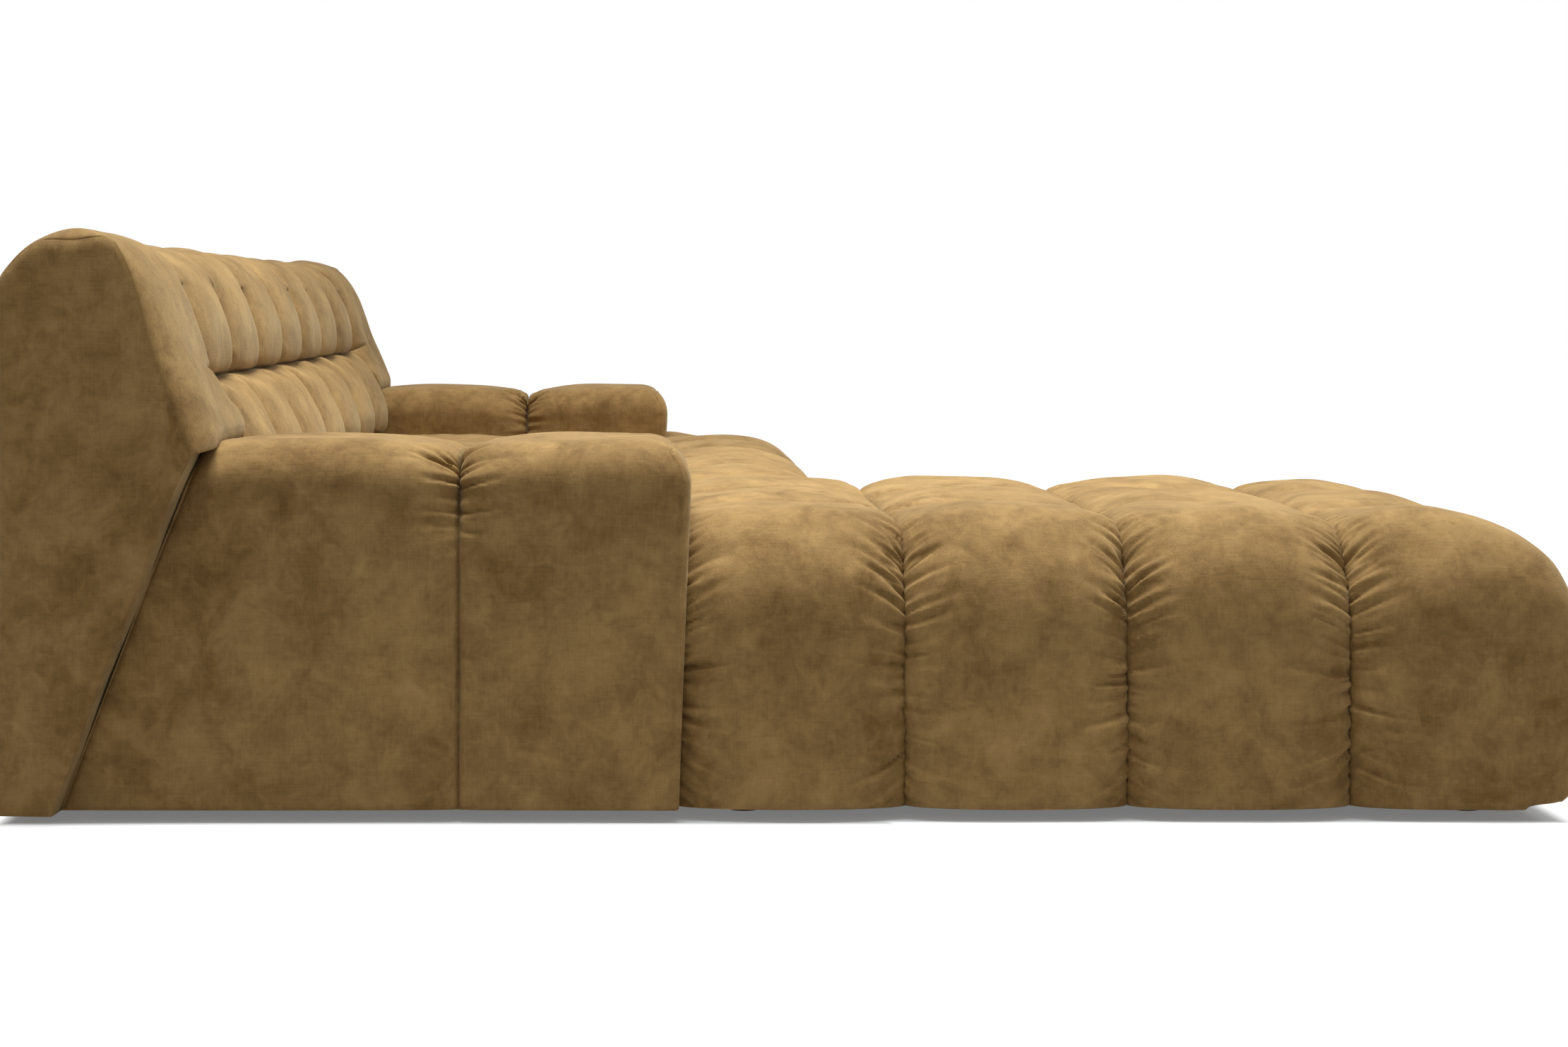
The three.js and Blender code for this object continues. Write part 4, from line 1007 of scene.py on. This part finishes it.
def mirrored_rules(total, strength_rule, slant_rule):
    """Rules for strength and slant that run from each foot of an outline to its middle."""
    level = lambda place: min(place, total - place)
    strength = lambda place: strength_rule(level(place))
    slant = lambda place: (1 if place < total / 2 else -1) * slant_rule(level(place))
    return strength, slant


def seat_dress(seed):
    """Folds on a seat block: long ones over the rounded edges, short ones elsewhere, and soft lumps."""

    def dress(details):
        inset = np.zeros(len(details["points"]))
        for kind, axis in (("row", 0), ("column", 1)):
            shoulder = details[f"{kind}_shoulder"]
            strength, slant = mirrored_rules(
                details["total"][axis],
                by_place([0, 0.05, 0.1, shoulder - 0.08, shoulder + 0.1, shoulder + 0.22],
                         [0.35, 1.2, 1.45, 1.1, 0.75, 0.14]),
                by_place([0, 0.1, 0.17, 0.28, shoulder, shoulder + 0.15], [-0.9, -0.5, 0, 0.7, 0.8, 0]),
            )
            finer = lambda place: 0.25 + 0.75 * strength(place)
            seams = np.unique(details[f"{kind}_seam"][details[f"{kind}_gap"] < seam_reach])
            inset += seam_folds(details, kind, seams, long_folds, seed + axis, strength, slant)
            inset += seam_folds(details, kind, seams, short_folds, seed + axis + 50, finer, slant)
        (large, large_length), (small, small_length) = lumps
        inset += (large * waves(details["points"], large_length, seed)
                  + small * waves(details["points"], small_length, seed + 1))
        return inset

    return dress


def seat_cover(name, columns, front_rows, open_rows, seed):
    """A seat cover, drawn with its arm at -X: a front block, a block between arm and joint, and for the
    chaise a block whose joint side is open."""
    arm_front = from_rear(arm_front_depth)

    def across(first):
        seams = [column_x(first + n) for n in range(columns - first + 1)]
        seams[-1] -= joint_gap
        return seams

    shape = dict(top=seat_height, top_rounds=(side_top_round, front_top_round),
                 fullnesses=(side_fullness, front_fullness), foot_rounds=(side_foot_round, seat_foot_round),
                 foot_share=seat_foot_share, fade_height=cover_bottom)

    def unchanged(points):
        return points

    def bowed(points):
        """The chaise's last tufts bulge forwards and fall a little towards their front."""
        bulging = points.copy()
        start = from_rear(arm_front_depth + (front_rows - 1) * row_pitch)
        forward = np.clip((start - points[:, 1]) / row_pitch, 0, 1)
        share = np.clip((points[:, 2] - cover_bottom) / (seat_height - cover_bottom), 0, 1)
        bulging[:, 1] -= front_bow * forward * np.sin(math.pi * share) ** front_bow_power
        bulging[:, 2] -= front_slope * forward * share
        return bulging

    def sunk(points):
        """The outermost tuft in front of the arm sits lower than the rest."""
        sinking = points.copy()
        outward = smooth((-outer_sink_starts - points[:, 0]) / outer_sink_reach)
        forward = smooth((arm_front - points[:, 1]) / (row_pitch / 3))
        height = points[:, 2] - cover_bottom
        sinking[:, 2] -= outer_sink * outward * forward * height / (seat_height - cover_bottom)
        return sinking

    def front_block(first_row, last_row, is_open, warp):
        at_front = last_row == front_rows
        seams = [from_rear(arm_front_depth + (last_row - n) * row_pitch)
                 for n in range(last_row - first_row + 1)]
        seams[0] += front_row_trim if at_front else -overrun
        if first_row == 0:
            seams[-1] += arm_press
        return padded_block(
            f"{name}_{first_row}",
            Axis(across(0), [0, *[column_valley] * (columns - 1), 0 if is_open else joint_valley],
                 (side_round, side_round if is_open else 0), seat_power),
            Axis(seams, [0 if at_front else row_valley, *[row_valley] * (last_row - first_row)],
                 (front_round if at_front else 0, 0), seat_power),
            warp=warp, dress=seat_dress(seed + first_row), **shape,
        )

    closed_rows = front_rows - open_rows
    cover = front_block(0, closed_rows, False, unchanged if open_rows else sunk)
    rear_seams = across(1)
    rear_seams[0] += module_gap
    last_seam = from_rear(arm_front_depth - (arm_rows - 1) * row_pitch)
    rear_end = seat_rear_y(seat_height)

    def lean(points):
        """Rakes the rear end, so that it follows the back's front face."""
        leant = points.copy()
        behind = leant[:, 1] > last_seam
        stretch = (seat_rear_y(leant[behind, 2]) - last_seam) / (rear_end - last_seam)
        leant[behind, 1] = last_seam + (leant[behind, 1] - last_seam) * stretch
        return leant

    others = [padded_block(
        f"{name}_rear",
        Axis(rear_seams, [arm_side_valley, *[column_valley] * (columns - 2), joint_valley],
             (0, 0), seat_power),
        Axis([arm_front - overrun, last_seam, rear_end], [row_valley, row_valley, back_side_valley],
             (0, 0), seat_power),
        warp=lean, dress=seat_dress(seed + 9), **shape,
    )]
    if open_rows:
        others.append(front_block(closed_rows, front_rows, True, bowed))
    combine(cover, "UNION", *others)

    inner_end = column_x(columns) - joint_gap - (seat_wall if open_rows else flat_wall)
    step_depth = arm_front_depth + arm_nose + module_gap + flat_wall
    front_depth = arm_front_depth + front_rows * row_pitch - front_row_trim - seat_wall
    notch_depth = arm_front_depth - row_pitch / 2
    low, high = hollow_bottom, seat_hollow_top
    raked = [(sofa_rear - seat_rear_y(height) + flat_wall, height) for height in (low, high)]
    combine(
        cover, "DIFFERENCE",
        prism("front_hollow", (column_x(0) + seat_wall, inner_end),
              [(step_depth, low), (step_depth, high), (front_depth, high), (front_depth, low)]),
        prism("rear_hollow", (column_x(1) + module_gap + flat_wall, inner_end),
              [*raked, (step_depth + overrun, high), (step_depth + overrun, low)]),
        prism("hook_notch", (inner_end - overrun, column_x(columns) + overrun),
              [(notch_depth - notch_half, low), (notch_depth + notch_half, low),
               (notch_depth + notch_half, notch_top), (notch_depth - notch_half, notch_top)]),
    )
    cover.name = name
    return cover


chaise_seat = seat_cover("chaise_seat_padding", chaise_columns, chaise_front_rows,
                         chaise_front_rows - main_front_rows, 100)
main_seat = seat_cover("main_seat_padding", column_count - chaise_columns, main_front_rows, 0, 200)
mirror_across(main_seat)

# Velvet, which covers every padded piece: short pile over a fine cross weave, crushed into lighter and
# darker patches by the hand. It is dull where it faces the eye and pale at a glancing angle.
pile_dark = (0.148, 0.077, 0.021, 1)
pile_light = (0.355, 0.216, 0.078, 1)
cloud_scale = 3.2
patch_scale = 13
crush_scale = 42
thread_fine = 420
thread_long = 26
tone_range = (1.02, 1.61)
sheen_tint = (1, 0.92, 0.6, 1)
weave_relief = (0.5, 0.0006)
nap_relief = (0.35, 0.0022)
crease_angle = math.radians(70)

velvet_cloth, tree = new_material("olive_gold_velvet")
place = place_in(tree)
clouds = noise_over(tree, place, cloud_scale, 3, 0.5, Distortion=0.3)
patches = noise_over(tree, place, patch_scale, 6, 0.62, Distortion=0.5)
crush = noise_over(tree, place, crush_scale, 5, 0.6, Distortion=0.9)
threads = []
for way in (2, 1, 0):
    stretch = [thread_long if axis == way else thread_fine for axis in range(3)]
    stretched = node(tree, "ShaderNodeMapping", Vector=place, Scale=stretch).outputs[0]
    threads.append(noise_over(tree, stretched, 1, 2, 0.6))
weave = maths(tree, "ADD", maths(tree, "ADD", threads[0], threads[1]), threads[2])
both = maths(tree, "MULTIPLY_ADD", crush, 0.55, patches)
cloudy = maths(tree, "MULTIPLY_ADD", clouds, 0.4, both)
tone = maths(tree, "MULTIPLY_ADD", weave, 0.21, cloudy)
finish(tree, Base_Color=blend(tree, between(tree, tone, *tone_range), pile_dark, pile_light),
       Roughness=between(tree, crush, 0, 1, 0.72, 0.95),
       Normal=relief(tree, *nap_relief, both, Normal=relief(tree, *weave_relief, weave)),
       Specular_IOR_Level=0.18, Sheen_Weight=0.17, Sheen_Roughness=0.42, Sheen_Tint=sheen_tint)


def upholster(cover, fill, *nodes):
    """Finishes a padded cover: smooth velvet that stands for its CAD solids and moves with the sofa."""
    cover.data.materials.clear()
    cover.data.materials.append(velvet_cloth)
    cover.data.shade_smooth()
    cover.data.set_sharp_from_angle(angle=crease_angle)
    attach(cover, "root")
    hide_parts(*nodes)


upholster(chaise_seat, 0.85, "chaise_seat_cover")
upholster(main_seat, 0.85, "main_seat_cover")

# The armrests: velvet over boards, nearly flat at the sides and padded on top, in two segments.
# Their seam is pulled tight, and gathers the cloth into a short fan below the top.
arm_valley = 0.034
arm_rear_drop = 0.011
arm_round = 0.064
arm_foot_round = 0.007
arm_front_lean = 0.02
arm_wall = 0.045
arm_hollow_top = 0.455
arm_power = 2.4
arm_foot_share = 0.27
arm_fade_drop = 0.15
arm_seam_depth = 0.005
arm_seam_width = 0.003
arm_edge_seam = 0.012
arm_edge_seam_depth = 0.0024
arm_edge_seam_reach = 0.05
arm_edge_pinch = 0.03
arm_folds = (0.06, 0.017, 0.011)
arm_edge_folds = (0.035, 0.016, 0.005)
arm_lump, arm_lump_length = 0.0014, 0.2
bolster_foot_depth = 0.083
bolster_seat_depth = 0.276
bolster_seat_height = arm_height - arm_rear_drop
bolster_lean = (bolster_seat_depth - bolster_foot_depth) / (bolster_seat_height - cover_bottom)


def arm_dress(seed):
    """Folds on an armrest, its tight middle seam, and the fine seam round its front face."""

    def dress(details):
        total, shoulder = details["total"][0], details["row_shoulder"]
        strength, slant = mirrored_rules(
            total,
            by_place([0, 0.35, 0.42, shoulder + 0.02, shoulder + 0.08], [0.08, 0.14, 0.85, 1, 0.4]),
            by_place([0.34, 0.42, shoulder, shoulder + 0.08], [-0.5, 0.2, 0.9, 0]),
        )
        inset = seam_folds(details, "row", (2, 3), arm_folds, seed, strength, slant)
        inset += arm_seam_depth * np.exp(-details["row_gap"] / arm_seam_width)
        places = np.unique(details["row_at"])
        edge_seam = places[np.argmin(np.abs(places - places[0] - arm_edge_seam))]
        inset += arm_edge_seam_depth * (details["row_at"] == edge_seam)
        away = np.abs(details["row_at"] - edge_seam)
        near = away < arm_edge_seam_reach
        pinched = lambda place: math.exp(
            -((min(place, total - place) - shoulder - arm_edge_pinch) / arm_edge_pinch) ** 2)
        inset[near] += gathers(details["along_row"][near], away[near], pinched, slant,
                               arm_edge_folds, [seed, 99])
        return inset + arm_lump * waves(details["points"], arm_lump_length, seed)

    return dress


def arm_cover(name, seed):
    seam = from_rear(arm_front_depth - row_pitch)
    front = from_rear(arm_front_depth + arm_nose)
    rear_at = lambda height: from_rear(
        bolster_foot_depth + (height - cover_bottom) * bolster_lean + module_gap)
    rear = rear_at(arm_height)
    slope = arm_front_lean / (arm_height - cover_bottom)

    def lean(points):
        """Rakes the rear end along the bolster, and leans the front end back from its top."""
        leant = points.copy()
        x, y, z = leant.T
        leant[:, 1] = np.where(
            y > seam,
            seam + (y - seam) * (rear_at(z) - seam) / (rear - seam),
            y + (arm_height - z) * slope * (seam - y) / (seam - front),
        )
        return leant

    cover = padded_block(
        name,
        Axis([column_x(0), column_x(1)], [0, 0], (arm_round, arm_round), arm_power),
        Axis([front, seam, rear], [0, arm_valley, arm_rear_drop], (arm_round, 0), arm_power),
        top=arm_height, top_rounds=(arm_round, arm_round), fullnesses=(2, 2),
        foot_rounds=(arm_foot_round, arm_foot_round), foot_share=arm_foot_share,
        fade_height=arm_height - arm_fade_drop, warp=lean, dress=arm_dress(seed),
    )
    front_wall = arm_front_depth + arm_nose - arm_front_lean - arm_wall
    levels = (hollow_bottom, arm_hollow_top)
    raked = [(sofa_rear - rear_at(height) + arm_wall, height) for height in levels]
    combine(cover, "DIFFERENCE", prism("arm_hollow", (column_x(0) + arm_wall, column_x(1) - arm_wall),
                                       [*raked, (front_wall, levels[1]), (front_wall, levels[0])]))
    return cover


chaise_arm = arm_cover("chaise_arm_padding", 300)
upholster(chaise_arm, 0.9, "chaise_arm_cover")
main_arm = arm_cover("main_arm_padding", 400)
mirror_across(main_arm)
upholster(main_arm, 0.9, "main_arm_cover")

# The backs: channels of padding in two rows, over a ribbed frame, with a plain bolster at the side.
# The channels' seams start in a small tuck near the top, and a deep seam parts the two rows.
back_height = 0.819
crown_depth = 0.104
crest_drop = 0.01
crest_reach = 0.09
bolster_proud = 0.035
channel_valley = 0.038
channel_power = 2.25
waist_valley = 0.05
waist_width = 0.22
waist_sag = 0.02
sag_starts, sag_reach = 0.006, 0.06
upper_seam_share = 0.36
tuck_below_crown = 0.125
tuck_depth = 0.015
tuck_radius = 0.013
edge_width = 0.15
edge_rings = 26
edge_marks = (-0.13, 0, 0.05, 0.08, 0.14, 0.33, 0.45)
edge_turns = (0.035, 0.035, 0.046, 0.08, 0.115, 0.11, 0.06)
edge_chamfers = (1, 1, 0.8, 0.3, 0, 0, 0)
edge_seam_shows = (1, 1, 1, 0.3, 0, 0, 0)
bolster_fade = 0.05
bolster_corner = 0.597
panel_puff = 0.008
most_fall = 0.005
panel_middle = (0.14, 0.46)
panel_rings = 24
panel_seam_depth = 0.006
panel_seam_width = 0.005
back_folds = (0.055, 0.026, 0.005)
back_fold_reach = 0.1
back_lump, back_lump_length = 0.0016, 0.2
shoulder_line = [(0, cover_bottom), (0, 0.4), (0, 0.715), (0.005, 0.752), (0.023, 0.78), (0.057, 0.805),
                 (crown_depth, back_height), (0.143, 0.813), (0.176, 0.797), (0.201, 0.771), (0.222, 0.736),
                 (0.24, 0.69)]
channel_line = [*shoulder_line, (0.257, 0.64), (0.277, 0.597), (0.2985, 0.553), (0.318, 0.512), (0.328, 0.47),
                (0.321, 0.436), (0.2953, 0.4253), (0.1534, 0.0404), (channel_foot_depth, cover_bottom)]
bolster_line = [*shoulder_line, (0.257, 0.64), (0.276, 0.597), (0.292, 0.56), (0.3, 0.537), (0.298, 0.521),
                (0.276, 0.517), (0.2702, 0.5019), (0.0946, 0.0451), (bolster_foot_depth, cover_bottom)]
panel_line = [(0.006, cover_bottom), (0.006, 0.4), (0.005, 0.71), (0.006, 0.748), (0.028, 0.775),
              (0.0575, 0.799), (0.11, 0.802), (0.166, 0.8025), (0.176, 0.786), (0.188, 0.757), (0.198, 0.722),
              (0.208, 0.68), (0.221, 0.635), (0.238, 0.59), (0.252, 0.556), (0.264, 0.53), (0.272, 0.516),
              (0.27, 0.503), (0.263, 0.4899), (0.0906, 0.0451), (0.079, cover_bottom)]


def flowing(keys, steps):
    """A smooth line through points, with as many steps between each two as the list says."""
    keys = np.array(keys, float)
    chords = np.diff(keys, axis=0)
    spans = np.linalg.norm(chords, axis=1)[:, None]
    slopes = chords / spans
    middle = (slopes[:-1] * spans[1:] + slopes[1:] * spans[:-1]) / (spans[1:] + spans[:-1])
    ways = np.concatenate([slopes[:1], middle, slopes[-1:]])
    line = []
    for n, count in enumerate(steps):
        t = (np.arange(count) / count)[:, None]
        line.append(
            keys[n] * (1 + 2 * t) * (1 - t) ** 2 + keys[n + 1] * t * t * (3 - 2 * t)
            + spans[n] * (ways[n] * t * (1 - t) ** 2 - ways[n + 1] * t * t * (1 - t))
        )
    return np.concatenate([*line, keys[-1:]])


def inward_of(line):
    """The unit directions into a section, whose points run from its rear foot over its crown."""
    ahead = np.gradient(line, axis=0)
    ahead /= np.linalg.norm(ahead, axis=1, keepdims=True)
    return np.stack([ahead[:, 1], -ahead[:, 0]], 1)


def back_cover(name, columns, seed):
    """A back cover, drawn with its bolster at -X: rings round its section, from side panel to joint."""
    steps = [max(3, round(math.dist(a, b) / step)) for a, b in zip(channel_line, channel_line[1:])]
    channel, bolster, panel = (flowing(line, steps) for line in (channel_line, bolster_line, panel_line))
    count = len(channel)
    run = np.concatenate([[0], np.cumsum(np.linalg.norm(np.diff(channel, axis=0), axis=1))])
    crown = run[np.argmax(channel[:, 1])]
    in_front = run > crown
    waist = run[in_front][np.argmin(np.abs(channel[in_front, 1] - waist_height))]
    tuck = crown + tuck_below_crown
    waist_gap = np.abs(run - waist)
    row_draw = waist_valley * (1 - tuft_rise(np.minimum(waist_gap / waist_width, 0.5), channel_power))
    sag = waist_sag * (1 - np.exp(-waist_gap / sag_starts)) * np.exp(-waist_gap / sag_reach)
    upper_seam = upper_seam_share * smooth((run - crown + 0.12) / 0.1)
    seam_weight = mix(upper_seam, 1, smooth((run - tuck + 0.03) / 0.05))
    marks = [crown + mark for mark in edge_marks]
    turned_wide, seam_shows, chamfer = (
        np.interp(run, marks, values) for values in (edge_turns, edge_seam_shows, edge_chamfers))
    corner_hold = 1 - 0.85 * smooth((run - waist - 0.03) / 0.06)
    above = smooth((bolster_corner - bolster[:, 1]) / (bolster_corner - bolster_seat_height))
    below = (bolster[:, 1] - cover_bottom) / (bolster_seat_height - cover_bottom)
    over_arm = np.where(in_front, np.minimum(above, np.clip(below, 0, 1)), 0)
    outer_x = column_x(0) - bolster_proud
    half = column_pitch / 2
    rings, gaps, seams = [], [], []

    def ring(line, x, draw=0, gap=far_off, seam=-1, slip=0):
        """Adds a section at a place, drawn in and slipped along itself, with its gap to a seam."""
        inward = inward_of(line)
        ahead = np.stack([-inward[:, 1], inward[:, 0]], 1)
        moved = line + inward * (draw + np.zeros(count))[:, None] + ahead * (slip + np.zeros(count))[:, None]
        moved[:, 1] = np.where(line[:, 1] <= cover_bottom + hair, cover_bottom, moved[:, 1])
        rings.append(np.stack([x + np.zeros(count), from_rear(moved[:, 0]), moved[:, 1]], 1))
        gaps.append(np.full(count, gap))
        seams.append(np.full(count, seam))

    def draped(line, x):
        """A bolster section whose lower corner follows the arm's rounded top edge, down its raked rear."""
        inside = np.clip(arm_round - (x - column_x(0)), 0, arm_round)
        fall = min(arm_round - math.sqrt(arm_round ** 2 - inside ** 2), most_fall)
        return line - fall * over_arm[:, None] * (bolster_lean, 1)

    def panel_pinch(away):
        return panel_seam_depth * seam_shows * np.exp(-(away / panel_seam_width) ** 2)

    for away in edge_width * (np.arange(edge_rings) / edge_rings) ** 2:
        left = np.clip(1 - away / turned_wide, 0, 1)
        turned = mix(1 - np.sqrt(1 - left ** 2), left ** 1.4, chamfer)
        x = outer_x + away
        ring(draped(mix(bolster, panel, turned[:, None]), x), x + panel_pinch(away))
    for x in np.arange(outer_x + edge_width, column_x(0) + half - step / 2, step):
        ring(bolster, x)
    near = half * (np.linspace(0, 1, round(half / step) + 1)) ** seam_grading
    for column in range(columns):
        is_bolster = column == 0
        start = column_x(column) + module_gap
        end = column_x(column + 1) - (joint_gap if column == columns - 1 else module_gap)
        places = [] if is_bolster else [(start + away, away, 2 * column) for away in near[:-1]]
        places += [(end - away, away, 2 * column + 1) for away in near[::-1]]
        for x, away, seam in places:
            dip = channel_valley * (1 - tuft_rise(away / column_pitch, channel_power)) * seam_weight
            drop = sag * (1 - (1 - 2 * away / column_pitch) ** 2)
            if is_bolster:
                fade = math.exp(-away / bolster_fade)
                ring(bolster, x, np.hypot(dip * corner_hold, row_draw * fade), away, seam, drop * fade)
            else:
                crest = crest_drop * np.exp(-((run - crown) / crest_reach) ** 2) * smooth(away / 0.03 + 0.5)
                ring(channel, x, np.hypot(dip, row_draw) + crest, away, seam, drop)

    ring_count = len(rings)
    a, n = (g.ravel() for g in np.meshgrid(np.arange(ring_count - 1), np.arange(count), indexing="ij"))
    after = (n + 1) % count
    here, beyond = a * count, (a + 1) * count
    faces = np.stack([here + n, beyond + n, beyond + after, here + after], 1).tolist()
    faces.append(((ring_count - 1) * count + np.arange(count)).tolist())
    middle = np.array([outer_x, from_rear(panel_middle[0]), panel_middle[1]])
    discs = []
    for m in range(1, panel_rings):
        share = 1 - (m / panel_rings) ** 1.5
        disc = middle + (rings[0] - middle) * share
        away = np.linalg.norm((rings[0] - disc)[:, 1:], axis=1)
        disc[:, 0] = outer_x - panel_puff * (1 - share ** 4) + panel_pinch(away)
        discs.append(disc)
    base = ring_count * count
    points = np.concatenate([*rings, *discs])
    loops = [np.arange(count), *(base + m * count + np.arange(count) for m in range(panel_rings - 1))]
    for outer, inner in zip(loops, loops[1:]):
        faces += np.stack([outer, np.roll(outer, -1), np.roll(inner, -1), inner], 1).tolist()
    faces.append(loops[-1].tolist())
    made = build_mesh(name, points, faces)

    gap, seam = np.concatenate(gaps), np.concatenate(seams)
    along = np.tile(run, ring_count)
    strength = by_place([tuck - 0.03, tuck - 0.01, tuck + 0.05, waist - 0.06, waist, waist + 0.05],
                        [0.05, 1, 0.35, 0.3, 0.9, 0.35])
    slant = by_place([tuck - 0.02, tuck + 0.03, waist - 0.1, waist, waist + 0.1], [-0.9, 0.6, 0.2, 0.5, -0.5])
    inset = back_lump * waves(points, back_lump_length, seed)
    for number in np.unique(seam[seam >= 0]):
        close = np.flatnonzero((seam == number) & (gap < back_fold_reach) & (along < waist + 0.12))
        folds = gathers(along[close], gap[close], strength, slant, back_folds, [seed, int(number)])
        folds += tuck_depth * np.exp(-((along[close] - tuck) ** 2 + gap[close] ** 2) / tuck_radius ** 2)
        inset[close] += folds
    inset[points[:, 2] < cover_bottom + hair] = 0
    inset[base - count:base] = 0
    set_points(made, points - per_vertex(made, "normal") * inset[:, None])
    return made


chaise_back = back_cover("chaise_back_padding", chaise_columns, 500)
upholster(chaise_back, 0.8, "chaise_back_cover")
main_back = back_cover("main_back_padding", column_count - chaise_columns, 600)
mirror_across(main_back)
upholster(main_back, 0.8, "main_back_cover")
